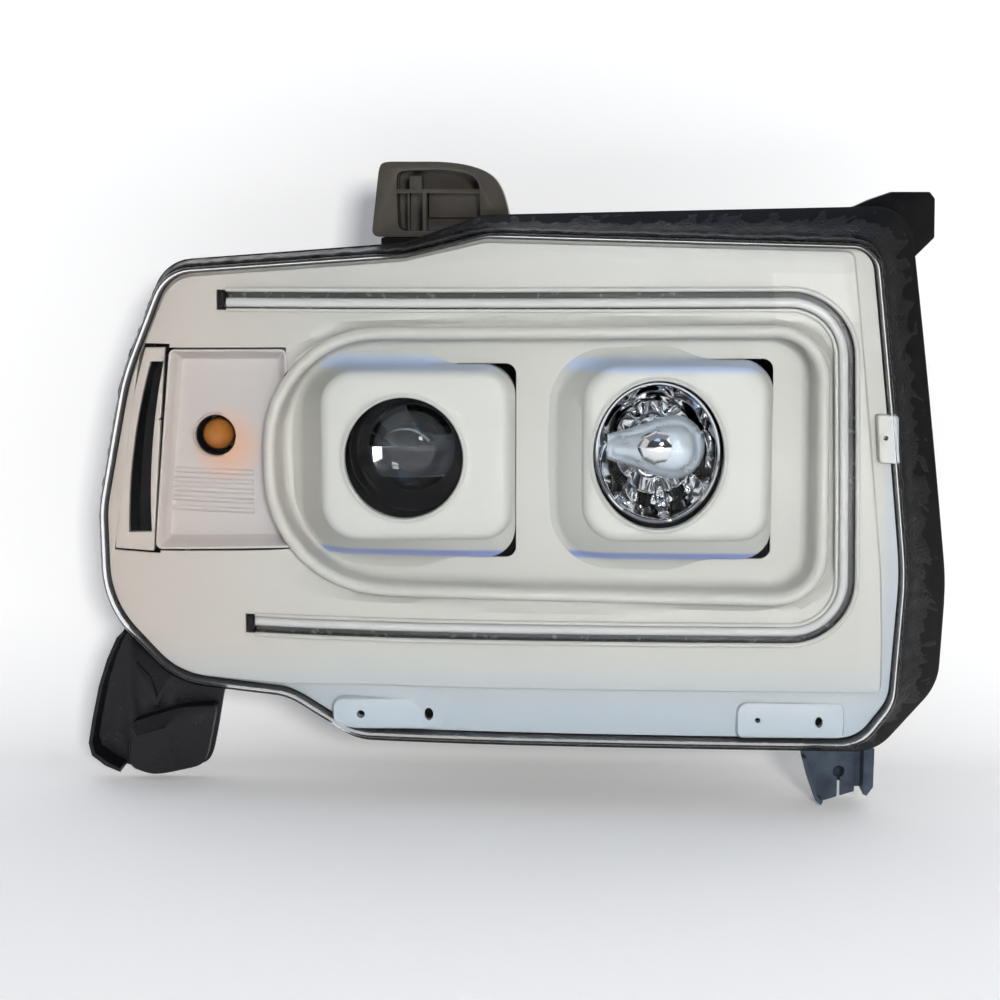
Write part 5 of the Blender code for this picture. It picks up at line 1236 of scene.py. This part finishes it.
def bulb_shield():
    """Bright cap shaped like a bulb on its side, with a faceted crown in its middle."""
    x, z = HIGH_AXIS
    table = [
        (-0.0322, 0.0080, 0.0040), (-0.0290, 0.0094, 0.0062), (-0.0210, 0.0112, 0.0082), (-0.0110, 0.0146, 0.0115),
        (0.0000, 0.0188, 0.0145), (0.0120, 0.0210, 0.0160), (0.0210, 0.0184, 0.0142), (0.0275, 0.0122, 0.0098),
        (0.0310, 0.0040, 0.0034),
    ]
    wall, back, lift, pieces = 0.0012, 0.0400, 0.0022, 28
    angles = [math.pi * k / pieces for k in range(pieces + 1)]
    stations, rings = spline(table, 4), []
    for i, (along, half, rise) in enumerate(stations):
        hollow = 0.0 if i in (0, len(stations) - 1) else max(0.0, rise - wall)
        section = [(half * math.cos(a), rise * math.sin(a)) for a in angles]
        section += [(max(0.0005, half - wall) * math.cos(a), hollow * math.sin(a)) for a in reversed(angles)]
        rings.append([Vector((x + along, back - r, z + lift + h)) for h, r in section])
    piece(loft("shield", rings), "high_beam_dome", "shield", "aim_carriage", ("high_beam_bulb_shield",), 35)
    facets, centre = 9, (x + 0.0010, z + 0.0030)
    steps = ((1.0, 0.0310), (1.0, 0.0288), (0.86, 0.0262), (0.58, 0.0242), (0.22, 0.0234))
    crown = [oval(centre, 0.0145 * share, 0.0118 * share, y, facets, 0.3) for share, y in steps]
    piece(bevel(loft("crown", crown), 0.0004, 2, 10), "high_beam_crown", "chrome", "aim_carriage", (), 8)


def aiming_gear():
    """Frame that carries both beams, its ball studs, and the screw and nut that tilt it."""
    front, back = PIVOT_Y - 0.002, PIVOT_Y + 0.002
    foot = centre_of("adjuster_screw")
    outline = [
        (-0.120, 0.118), (0.146, 0.118), (0.146, 0.060), (0.138, -0.040), (0.045, -0.052), (0.026, -0.137),
        (-0.002, -0.137), (-0.016, -0.052), (-0.112, -0.040), (-0.120, 0.060),
    ]
    obj = prism("carrier", outline, front, back)
    sockets = [rod("socket", (x, PIVOT_Z), 0.0092, PIVOT_Y - 0.0075, PIVOT_Y + 0.0065) for x in PIVOTS_X]
    join(obj, *sockets, rod("foot_socket", foot, 0.0082, PIVOT_Y - 0.0040, PIVOT_Y + 0.0040))
    bores = [rod("socket_bore", (x, PIVOT_Z), 0.0060, PIVOT_Y - 0.0060, 0.1) for x in PIVOTS_X]
    cut(
        obj, rod("barrel_hole", LOW_AXIS, 0.0404, 0.05, 0.1, 64), rod("bowl_hole", HIGH_AXIS, 0.0300, 0.05, 0.1, 64),
        rod("foot_bore", foot, 0.0062, 0.06, 0.1), *bores,
    )
    piece(bevel(obj, 0.0006), "aim_frame", "housing", "aim_carriage", ("aim_carrier",))
    nut = [
        (0.0040, PIVOT_Y - 0.0075), (0.0085, PIVOT_Y - 0.0075), (0.0085, PIVOT_Y - 0.0044),
        (0.0058, PIVOT_Y - 0.0044),
        (0.0058, PIVOT_Y + 0.0060), (0.0040, PIVOT_Y + 0.0060),
    ]
    piece(turned("nut", foot, nut, 32, ring=True), "aim_nut", "nylon", "aim_carriage", ("adjuster_nut",))
    head = MIDDLE_Y + 0.003 + GAP
    profile = [(0.0, 0.0560), (0.0025, 0.0575), (0.0032, 0.0600)]
    for k in range(18):
        profile += [(0.0032, 0.0605 + 0.0025 * k), (0.0026, 0.0617 + 0.0025 * k)]
    profile += [
        (0.0032, 0.1060), (0.0032, 0.1080), (0.0050, 0.1090), (0.0050, head), (0.0108, head), (0.0110, head + 0.0004),
        (0.0110, head + 0.0090), (0.0100, head + 0.0103), (0.0, head + 0.0105),
    ]
    obj = turned("screw", foot, profile, 48)
    back = head + 0.0105
    x, z = foot
    notches = []
    for k in range(16):
        a = math.tau * k / 16
        notches.append(
            rod("knurl", (x + 0.0116 * math.cos(a), z + 0.0116 * math.sin(a)), 0.0014, head - 0.002, back + 0.002, 10)
        )
    notches += [
        box("slot_a", (x - 0.0045, back - 0.004, z - 0.0008), (x + 0.0045, back + 0.01, z + 0.0008)),
        box("slot_b", (x - 0.0008, back - 0.004, z - 0.0045), (x + 0.0008, back + 0.01, z + 0.0045)),
    ]
    cut(obj, *notches)
    piece(obj, "aim_screw", "zinc", "adjuster", ("adjuster_screw",), 30)
    root = MIDDLE_Y - 0.0120 - GAP
    for side, x in (("outboard", -0.104), ("inboard", 0.130)):
        ball = [
            (0.0050 * math.sin(math.radians(12.5 * k)), PIVOT_Y - 0.0050 * math.cos(math.radians(12.5 * k)))
            for k in range(12)
        ]
        stud = (
            ball
            + [
                (0.0028, PIVOT_Y + 0.0075), (0.0028, root - 0.003), (0.0055, root - 0.003), (0.0055, root),
                (0.0, root),
            ]
        )
        piece(
            turned("stud", (x, PIVOT_Z), stud, 32), f"ball_stud_{side}", "zinc", replaces=(f"pivot_stud_{side}",),
            angle=30,
        )


def beam_bulb(name, axis, tip, seat, radius, collar, body):
    """Capsule bulb on its plastic base."""
    glass = [(0.0, tip)]
    glass += [
        (radius * math.sin(math.pi / 2 * k / 6), tip + 0.0045 * (1 - math.cos(math.pi / 2 * k / 6)))
        for k in range(1, 7)
    ]
    glass += [(radius, seat - 0.0034), (radius - 0.0004, seat - 0.0030), (0.0, seat - 0.0030)]
    piece(turned("glass", axis, glass, 36), f"{name}_capsule", "quartz", body, (f"{name}_bulb_glass",), 40)
    base = [
        (0.0, seat - 0.0030 + GAP), (collar * 0.7, seat - 0.0030 + GAP), (collar * 0.7, seat), (collar, seat),
        (collar, seat + 0.0040),
        (collar + 0.0040, seat + 0.0040), (collar + 0.0040, seat + 0.0070), (0.0090, seat + 0.0090),
        (0.0090, seat + 0.0170), (0.0, seat + 0.0170),
    ]
    obj = turned("base", axis, softened(base, 0.0005), 40)
    x, z = axis
    plug = bevel(
        box("plug", (x - 0.0075, seat + 0.0080, z - 0.0200), (x + 0.0075, seat + 0.0165, z + 0.0010)), 0.0006,
    )
    piece(join(obj, plug), f"{name}_holder", "housing", body, (f"{name}_bulb_base",), 30)


# ---------------------------------------------------------------- rear: sockets, caps, fittings
def socket(name, axis, plug, flange, radius, tip, seal_body, twist_body):
    """Twist-in socket with its seal and its bulb."""
    face = MIDDLE_Y + 0.004 + GAP
    seal = [(plug + GAP, face), (flange, face), (flange, face + 0.0022), (plug + GAP, face + 0.0022)]
    piece(
        turned("seal", axis, seal, 48, ring=True), f"{name}_gasket", "rubber", seal_body, (f"{name}_socket_seal",),
        30,
    )
    rear = face + 0.0022 + GAP
    holder = [
        (0.0, MIDDLE_Y - 0.0090), (plug - 0.0022, MIDDLE_Y - 0.0090), (plug - 0.0004, MIDDLE_Y - 0.0070),
        (plug - 0.0004, rear),
        (flange + 0.0015, rear), (flange + 0.0015, rear + 0.0030), (plug * 0.80, rear + 0.0042),
        (plug * 0.80, rear + 0.0150), (0.0, rear + 0.0150),
    ]
    obj = turned("holder", axis, softened(holder, 0.0005), 48)
    x, z = axis
    grip = flange + 0.0040
    wings = bevel(box("grip", (x - grip, rear + 0.0010, z - 0.0016), (x + grip, rear + 0.0100, z + 0.0016)), 0.0006)
    join(obj, wings)
    mouth = plug * 0.50
    cut(
        obj,
        bevel(
            box("mouth", (x - mouth, rear + 0.0060, z - mouth * 0.62), (x + mouth, rear + 0.03, z + mouth * 0.62)),
            0.0005,
        ),
    )
    piece(obj, f"{name}_holder", "nylon", twist_body, (f"{name}_socket",), 30)
    seat = MIDDLE_Y - 0.0090 - GAP
    glass = [(0.0, tip)]
    glass += [
        (radius * math.sin(math.pi / 2 * k / 10), tip + radius * (1 - math.cos(math.pi / 2 * k / 10)))
        for k in range(1, 11)
    ]
    glass += [
        (radius, tip + (seat - tip) * 0.55), (radius * 0.92, tip + (seat - tip) * 0.65),
        (radius * 0.72, seat - 0.0080),
        (radius * 0.66, seat - 0.0040), (radius * 0.65, seat), (0.0, seat),
    ]
    piece(turned("bulb", axis, glass, 48), f"{name}_lamp", "amber", twist_body, (f"{name}_bulb",), 40)


def access_cap(name, axis, seal_body, twist_body):
    """Twist-off rear cap with a grip bar, a milled edge and its seal."""
    lip = REAR_Y + NECK_LENGTH + GAP
    inner, outer = NECK - 0.0045, NECK + 0.0004
    seal = [(inner, lip), (outer, lip), (outer, lip + 0.0024), (inner, lip + 0.0024)]
    piece(turned("ring", axis, seal, 72, ring=True), f"{name}_gasket", "rubber", seal_body, (f"{name}_cap_seal",), 30)
    rear = lip + 0.0024 + GAP
    plug = inner - 0.0006
    profile = [
        (0.0, rear + 0.0008), (plug - 0.0022, rear + 0.0008), (plug - 0.0022, REAR_Y + 0.0015),
        (plug, REAR_Y + 0.0015), (plug, rear),
        (NECK + 0.0020, rear), (NECK + 0.0020, rear + 0.0030), (0.0400, rear + 0.0050), (0.0, rear + 0.0050),
    ]
    obj = turned("cap", axis, softened(profile, 0.0008), 96)
    x, z = axis
    bar = bevel(
        box("bar", (x - 0.0340, rear + 0.0040, z - 0.0035), (x + 0.0340, rear + 0.0170, z + 0.0035)), 0.0014, 3,
    )
    join(obj, bar)
    notches = []
    for k in range(36):
        a = math.tau * k / 36
        notches.append(
            rod(
                "notch", (x + (NECK + 0.0026) * math.cos(a), z + (NECK + 0.0026) * math.sin(a)), 0.0014,
                rear + 0.0004, rear + 0.01, 8,
            )
        )
    groove = turned(
        "groove", axis,
        [(0.0355, rear + 0.0042), (0.0375, rear + 0.0042), (0.0375, rear + 0.01), (0.0355, rear + 0.01)], 72,
        ring=True,
    )
    cut(obj, groove, *notches)
    piece(obj, f"{name}_cover", "housing", twist_body, (f"{name}_cap",), 30)


def rear_fittings():
    """Light bar's driver, harness inlet and the two breathers."""
    y = REAR_Y + GAP
    driver = box("driver", (0.1200, y, -0.0980), (0.1620, y + 0.0160, -0.0560))
    fins = [
        box(
            "groove", (0.1245 + 0.0055 * i - 0.0011, y + 0.0105, -0.1100),
            (0.1245 + 0.0055 * i + 0.0011, y + 0.03, -0.0450),
        )
        for i in range(7)
    ]
    cut(driver, *fins)
    piece(bevel(driver, 0.0006), "bar_driver", "cast", replaces=("light_bar_driver",))
    inlet = bevel(box("inlet", (-0.0460, y, -0.0960), (0.0060, y + 0.0240, -0.0660)), 0.0015, 3)
    cut(inlet, bevel(box("mouth", (-0.0435, y + 0.0060, -0.0935), (0.0035, y + 0.0400, -0.0685)), 0.0010))
    join(inlet, box("latch", (-0.0240, y + 0.0080, -0.0665), (-0.0160, y + 0.0200, -0.0648)))
    piece(inlet, "harness_inlet", "trim", replaces=("harness_connector",), angle=30)
    blades = None
    for row in range(2):
        for column in range(4):
            x, z = -0.0375 + 0.0117 * column, -0.0865 + 0.0110 * row
            blade = bevel(
                box("blade", (x - 0.0004, y + 0.0050, z - 0.0014), (x + 0.0004, y + 0.0180, z + 0.0014)), 0.0002,
            )
            blades = blade if blades is None else join(blades, blade)
    piece(blades, "inlet_blades", "zinc")
    for name, x, z in (("breather_outboard", -0.124, -0.060), ("breather_inboard", 0.158, 0.070)):
        stub = turned(
            "stub", (x, z), softened([(0.0, y), (0.0055, y), (0.0055, y + 0.0140), (0.0, y + 0.0140)], 0.0015), 32,
        )
        join(
            stub,
            bevel(box("mouth", (x - 0.0048, y + 0.0060, z - 0.0150), (x + 0.0048, y + 0.0138, z - 0.0010)), 0.0012),
        )
        piece(stub, f"{name}_elbow", "rubber", replaces=(name,), angle=30)


# ---------------------------------------------------------------- brackets and fasteners
def chamfered(points, reach=0.003, rounds=2):
    """An outline with its corners cut, then cut again, so that they look moulded."""
    for _ in range(rounds):
        result = []
        for i, p in enumerate(points):
            here, before, after = Vector(p), Vector(points[i - 1]), Vector(points[(i + 1) % len(points)])
            for other in (before, after):
                gap = other - here
                result.append(tuple(here + gap * min(0.25, reach / max(gap.length, 1e-6))))
        points, reach = result, reach / 2
    return points


def tower():
    """Smoked tower bracket above the lamp: side walls round a recess with a rib and a shelf."""
    base = 0.1530 + GAP
    outline = [
        (-0.0972, base), (-0.0918, 0.1995), (-0.0885, 0.2025), (-0.0520, 0.2025), (-0.0400, 0.2015),
        (-0.0300, 0.1995), (-0.0220, 0.1965), (-0.0155, 0.1920), (-0.0110, 0.1850), (-0.0080, 0.1760),
        (-0.0058, 0.1660),
        (-0.0048, base),
    ]
    foot = base + 0.004
    pocket = [
        (-0.0795, foot), (-0.0805, 0.1930), (-0.0780, 0.1965), (-0.0500, 0.1975), (-0.0330, 0.1950),
        (-0.0260, 0.1900), (-0.0245, foot),
    ]
    left = [(-0.0942, foot), (-0.0893, 0.1950), (-0.0835, 0.1950), (-0.0820, foot)]
    right = [
        (-0.0220, foot), (-0.0232, 0.1890), (-0.0180, 0.1880), (-0.0132, 0.1810), (-0.0088, 0.1680), (-0.0078, foot),
    ]
    obj = prism("tower", chamfered(outline), 0.0685, 0.0985)
    cut(
        obj, prism("pocket", chamfered(pocket), 0.04, 0.0950), prism("left", left, 0.0715, 0.12),
        prism("right", right, 0.0715, 0.12),
    )
    join(
        obj,
        box("rib", (-0.0634, 0.0710, base + 0.001), (-0.0610, 0.0970, 0.1830)),
        box("shelf", (-0.0810, 0.0710, 0.1820), (-0.0230, 0.0970, 0.1846)),
        box("post", (-0.0740, 0.0800, base + 0.001), (-0.0728, 0.0970, 0.1830)),
        box("step", (-0.0600, 0.0860, 0.1660), (-0.0240, 0.0970, 0.1830)),
        box("lug", (-0.0720, 0.0720, 0.1846), (-0.0640, 0.0970, 0.1930)),
        box("foot", (-0.0600, 0.0959, 0.1405), (-0.0360, 0.0985, 0.1580)),
    )
    hole = rod("bolt_hole", (0.0, 0.0), 0.0040, -0.02, 0.02, 32)
    hole.data.transform(Matrix.Translation((-0.0790, 0.0820, 0.2030)) @ Matrix.Rotation(math.pi / 2, 4, "X"))
    cut(obj, rod("screw_hole", TOWER_SCREW, 0.0028, 0.09, 0.11, 20), hole)
    piece(bevel(obj, 0.0007), "tower_bracket", "smoked", replaces=("upper_tower_bracket",), angle=30)


def outboard_bracket():
    """Dark tab below the outboard corner, with a rolled edge and a hollow foot."""
    outline = [
        (-0.2745, -0.1140), (-0.2790, -0.1225), (-0.2862, -0.1380), (-0.2926, -0.1573), (-0.2980, -0.1818),
        (-0.3010, -0.1985), (-0.2990, -0.2075), (-0.2895, -0.2150), (-0.2790, -0.2195), (-0.2600, -0.2245),
        (-0.2500, -0.2240), (-0.2260, -0.2190), (-0.2200, -0.2160), (-0.2170, -0.2100), (-0.2133, -0.1933),
        (-0.2085, -0.1660), (-0.2045, -0.1520), (-0.2075, -0.1462), (-0.2405, -0.1462),
    ]
    obj = prism("tab", chamfered(outline), 0.1100, 0.1140)
    lip = [
        (-0.2788, -0.1227), (-0.2860, -0.1381), (-0.2924, -0.1574), (-0.2978, -0.1818), (-0.3008, -0.1985),
        (-0.2988, -0.2074), (-0.2894, -0.2148), (-0.2790, -0.2192), (-0.2790, -0.2165), (-0.2880, -0.2121),
        (-0.2964, -0.2056), (-0.2982, -0.1985), (-0.2952, -0.1822), (-0.2899, -0.1580), (-0.2835, -0.1388),
        (-0.2764, -0.1236),
    ]
    foot = [
        (-0.2736, -0.1860), (-0.2740, -0.2175), (-0.2595, -0.2228), (-0.2505, -0.2224), (-0.2270, -0.2172),
        (-0.2218, -0.2144), (-0.2192, -0.2094), (-0.2155, -0.1926), (-0.2116, -0.1724), (-0.2375, -0.1745),
    ]
    fold = [
        (-0.2700, -0.1450), (-0.2600, -0.1560), (-0.2560, -0.1700), (-0.2500, -0.1600), (-0.2420, -0.1500),
        (-0.2430, -0.1560), (-0.2520, -0.1680), (-0.2560, -0.1790), (-0.2640, -0.1650), (-0.2720, -0.1500),
    ]
    join(
        obj,
        box("step", (-0.2500, 0.1120, -0.1640), (-0.2060, 0.1284, -0.1490)),
        box("arm", (-0.2500, MIDDLE_Y + GAP, -0.1620), (-0.2120, 0.1284, -0.1000)),
        prism("edge", lip, 0.0880, 0.1130), prism("foot", chamfered(foot), 0.0960, 0.1120),
        prism("fold", fold, 0.1075, 0.1120),
    )
    hollow = [
        (-0.2706, -0.1885), (-0.2708, -0.2145), (-0.2590, -0.2192), (-0.2285, -0.2136), (-0.2230, -0.2085),
        (-0.2190, -0.1925), (-0.2158, -0.1768), (-0.2375, -0.1782),
    ]
    cut(obj, prism("hollow", hollow, 0.0995, 0.13), rod("screw_hole", OUTBOARD_SCREW, 0.0028, 0.10, 0.14, 20))
    ridge = bevel(
        prism(
            "ridge", [(-0.2690, -0.1945), (-0.2692, -0.1960), (-0.2480, -0.1898), (-0.2478, -0.1883)], 0.0948, 0.0975,
        ),
        0.0004,
    )
    join(obj, ridge, bevel(box("rib", (-0.2742, 0.0952, -0.2130), (-0.2730, 0.1000, -0.1990)), 0.0004))
    piece(bevel(obj, 0.0008), "outboard_tab", "charcoal", replaces=("lower_outboard_bracket",), angle=30)


def inboard_bracket():
    """Pressed tab below the inboard corner, with turned edges, a bolt hole and its seat."""
    outline = [
        (0.1915, -0.1730), (0.1925, -0.1950), (0.1963, -0.2092), (0.2015, -0.2240), (0.2055, -0.2277),
        (0.2090, -0.2270), (0.2290, -0.2205), (0.2310, -0.1730),
    ]
    obj = prism("plate", outline, 0.0620, 0.0645)
    left = [
        (0.1925, -0.1950), (0.1963, -0.2092), (0.2015, -0.2240), (0.2055, -0.2277), (0.2070, -0.2250),
        (0.2035, -0.2225), (0.1988, -0.2085), (0.1950, -0.1950),
    ]
    right = [(0.2330, -0.1870), (0.2330, -0.2185), (0.2355, -0.2196), (0.2397, -0.2135), (0.2400, -0.1870)]
    join(
        obj, prism("left", left, 0.0520, 0.0635), prism("right", right, 0.0480, 0.0784),
        box("bridge", (0.2270, 0.0622, -0.2170), (0.2390, 0.0639, -0.1875)),
        box("back", (0.2040, 0.0760, -0.2170), (0.2360, 0.0784, -0.1930)),
        box("seat", (0.2070, 0.0640, -0.2160), (0.2265, 0.0650, -0.1880)),
    )
    cut(
        obj, rod("bolt_hole", (0.2183, -0.2066), 0.0040, 0.04, 0.0700, 32),
        box("slot", (0.2174, 0.05, -0.2350), (0.2194, 0.0700, -0.2080)),
        rod("screw_hole", INBOARD_SCREW, 0.0028, 0.05, 0.08, 20),
    )
    piece(bevel(obj, 0.0009, 3), "inboard_tab", "steel", replaces=("lower_inboard_bracket",), angle=30)


def screw(name, node, axis, front, back, head=0.0055, shank=0.0024):
    """Cross-headed screw with a ribbed shank."""
    neck = back - 0.0032
    profile = [(0.0, front), (shank, front + 0.001)]
    turns = int((neck - front - 0.003) / 0.0016)
    for k in range(turns):
        profile += [(shank, front + 0.0014 + 0.0016 * k), (shank - 0.0004, front + 0.0022 + 0.0016 * k)]
    profile += [
        (shank, neck), (head, neck), (head, back - 0.0012), (head * 0.86, back - 0.0004), (head * 0.6, back),
        (0.0, back),
    ]
    obj = turned("screw", axis, profile, 36)
    x, z = axis
    cross = 0.0032
    cut(
        obj, box("slot_a", (x - cross, back - 0.0012, z - 0.0005), (x + cross, back + 0.002, z + 0.0005)),
        box("slot_b", (x - 0.0005, back - 0.0012, z - cross), (x + 0.0005, back + 0.002, z + cross)),
    )
    piece(obj, name, "zinc", replaces=(node,), angle=30)


# ---------------------------------------------------------------- the whole lamp
def build():
    """Every piece, front to back, then the brackets and their screws."""
    housing()
    sealant()
    outer_lens()
    bezel()
    light_bar()
    recess_panel()
    pod("low_beam_surround", LOW_POD_FACE, LOW_POD_BASE, 0.019, LOW_HOLE_CENTRE, (0.0385, 0.0395), "low_beam_pod")
    pod("high_beam_surround", HIGH_POD_FACE, HIGH_POD_BASE, 0.011, HIGH_AXIS, (0.0420, 0.0480), "high_beam_pod")
    turn_compartment()
    side_marker()
    projector()
    high_reflector()
    bulb_shield()
    aiming_gear()
    beam_bulb("low_beam", LOW_AXIS, 0.1060, 0.1484, 0.0062, 0.0150, "low_bulb")
    beam_bulb("high_beam", HIGH_AXIS, 0.0420, 0.0904, 0.0062, 0.0135, "high_bulb")
    socket("turn", TURN_AXIS, 0.0146, 0.0185, 0.0106, 0.0560, "turn_seal_ring", "turn_holder")
    socket("side_marker", SIDE_AXIS, 0.0086, 0.0116, 0.0048, 0.0900, "side_seal_ring", "side_holder")
    access_cap("low_beam", LOW_AXIS, "low_cap_ring", "low_cap")
    access_cap("high_beam", HIGH_AXIS, "high_cap_ring", "high_cap")
    rear_fittings()
    tower()
    outboard_bracket()
    inboard_bracket()
    screw("tower_screw", "upper_tower_screw", TOWER_SCREW, 0.0850, 0.0985 + GAP + 0.0032)
    screw("outboard_screw", "lower_outboard_screw", OUTBOARD_SCREW, MIDDLE_Y - 0.0070, 0.1284 + GAP + 0.0032)
    screw("inboard_screw", "lower_inboard_screw", INBOARD_SCREW, 0.0565, 0.0645 + GAP + 0.0032, 0.0050, 0.0022)
    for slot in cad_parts["lens_seal"].material_slots:
        slot.material = MATERIALS["sealant"]


build()


# ---------------------------------------------------------------- studio
FLOOR_GAP, WALL_GAP, SWEEP_RADIUS, SWEEP_STEPS = 0.0006, 0.030, 0.10, 16
PAPER_REACH, PAPER_TOP = 4.0, 3.0
LAMP_AIM = (-0.02, 0.0, 0.01)
DARK_AHEAD = (0.0, -0.97, -0.24)         # the room is darker behind the camera than around it
ROOM, ROOM_AHEAD = (0.23, 0.235, 0.25, 1.0), (0.05, 0.05, 0.055, 1.0)
AZIMUTH, ELEVATION, DISTANCE, VIEW_WIDTH = math.radians(1.8), math.radians(8.5), 1.30, 0.639
VIEW_AIM = (-0.010, 0.0, -0.012)


def backdrop():
    """White sweep: a floor that curves up into a wall close behind the lamp."""
    low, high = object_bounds()
    floor_z, wall_y, radius = low.z - FLOOR_GAP, high.y + WALL_GAP, SWEEP_RADIUS
    section = [(-PAPER_REACH, floor_z), (wall_y - radius, floor_z)]
    for k in range(1, SWEEP_STEPS + 1):
        a = math.pi / 2 * k / SWEEP_STEPS
        section.append((wall_y - radius + radius * math.sin(a), floor_z + radius * (1 - math.cos(a))))
    section.append((wall_y, PAPER_TOP))
    points = [(x, y, z) for y, z in section for x in (-PAPER_REACH, PAPER_REACH)]
    faces = [(2 * k, 2 * k + 1, 2 * k + 3, 2 * k + 2) for k in range(len(section) - 1)]
    obj = new_object("backdrop", points, faces)
    smooth(obj, 60)
    paper = Nodes("white_paper", (0.93, 0.93, 0.93), 0.75, Specular_IOR_Level=0.1)
    paper.tint(paper.ramp(paper.noise(2.0), 0.3, 0.8, 0.0, 0.3), (0.94, 0.94, 0.94))
    paper.set("Emission Color", (1.0, 1.0, 1.0, 1.0))
    paper.set("Emission Strength", 0.13)
    obj.data.materials.append(paper.material)
    obj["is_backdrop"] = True


def softbox(name, place, size, watts, colour, aim=(0.0, 0.0, 0.0)):
    """Rectangular area light, placed and aimed from the datum."""
    lamp = bpy.data.lights.new(name, "AREA")
    lamp.shape, lamp.size, lamp.size_y = "RECTANGLE", size[0], size[1]
    lamp.energy, lamp.color = watts, colour
    obj = bpy.data.objects.new(name, lamp)
    SCENE.collection.objects.link(obj)
    obj.location = DATUM + Vector(place)
    obj.rotation_euler = (Vector(aim) - Vector(place)).to_track_quat("-Z", "Y").to_euler()
    return obj


def studio():
    """Backdrop, six lights and a grey room for reflections."""
    backdrop()
    key = softbox("key", (0.42, -2.40, 0.46), (0.30, 0.30), 40.0, (1.0, 0.985, 0.955))
    key.visible_glossy = False
    softbox("side", (1.30, -0.90, 0.90), (0.8, 0.8), 1.6, (1.0, 0.98, 0.95))
    softbox("fill", (-1.5, -1.0, 0.5), (1.2, 1.0), 1.6, (1.0, 0.93, 0.86))
    softbox("sky", (0.0, -0.25, 1.10), (1.5, 0.5), 1.3, (0.42, 0.62, 1.0))
    softbox("window", (0.04, -1.20, 0.58), (0.30, 0.36), 0.35, (0.35, 0.60, 1.0), LAMP_AIM)
    softbox("lamp", (-0.06, -1.10, 0.92), (0.20, 0.14), 0.22, (1.0, 0.92, 0.75), LAMP_AIM)
    world = bpy.data.worlds.new("studio")
    world.use_nodes = True
    SCENE.world = world
    tree = world.node_tree
    background = tree.nodes["Background"]
    place, ahead = tree.nodes.new("ShaderNodeTexCoord"), tree.nodes.new("ShaderNodeVectorMath")
    ahead.operation = "DOT_PRODUCT"
    ahead.inputs[1].default_value = DARK_AHEAD
    spread, mix = tree.nodes.new("ShaderNodeMapRange"), tree.nodes.new("ShaderNodeMix")
    spread.interpolation_type = "SMOOTHSTEP"
    spread.inputs["From Min"].default_value, spread.inputs["From Max"].default_value = 0.45, 0.90
    mix.data_type = "RGBA"
    mix.inputs["A"].default_value = ROOM
    mix.inputs["B"].default_value = ROOM_AHEAD
    tree.links.new(place.outputs["Generated"], ahead.inputs[0])
    tree.links.new(ahead.outputs["Value"], spread.inputs["Value"])
    tree.links.new(spread.outputs["Result"], mix.inputs["Factor"])
    tree.links.new(mix.outputs["Result"], background.inputs["Color"])
    background.inputs["Strength"].default_value = 1.0
    SCENE.view_settings.view_transform = "Standard"


def camera():
    """At the viewing angle: slightly from the inboard side and from above."""
    flat = math.cos(ELEVATION)
    back = Vector((math.sin(AZIMUTH) * flat, -math.cos(AZIMUTH) * flat, math.sin(ELEVATION)))
    aim = DATUM + Vector(VIEW_AIM)
    data = bpy.data.cameras.new("camera")
    data.lens = data.sensor_width * DISTANCE / VIEW_WIDTH
    data.clip_start, data.clip_end = 0.05, 20.0
    obj = bpy.data.objects.new("camera", data)
    SCENE.collection.objects.link(obj)
    obj.location = aim + back * DISTANCE
    obj.rotation_euler = (-back).to_track_quat("-Z", "Y").to_euler()
    SCENE.camera = obj


studio()
camera()
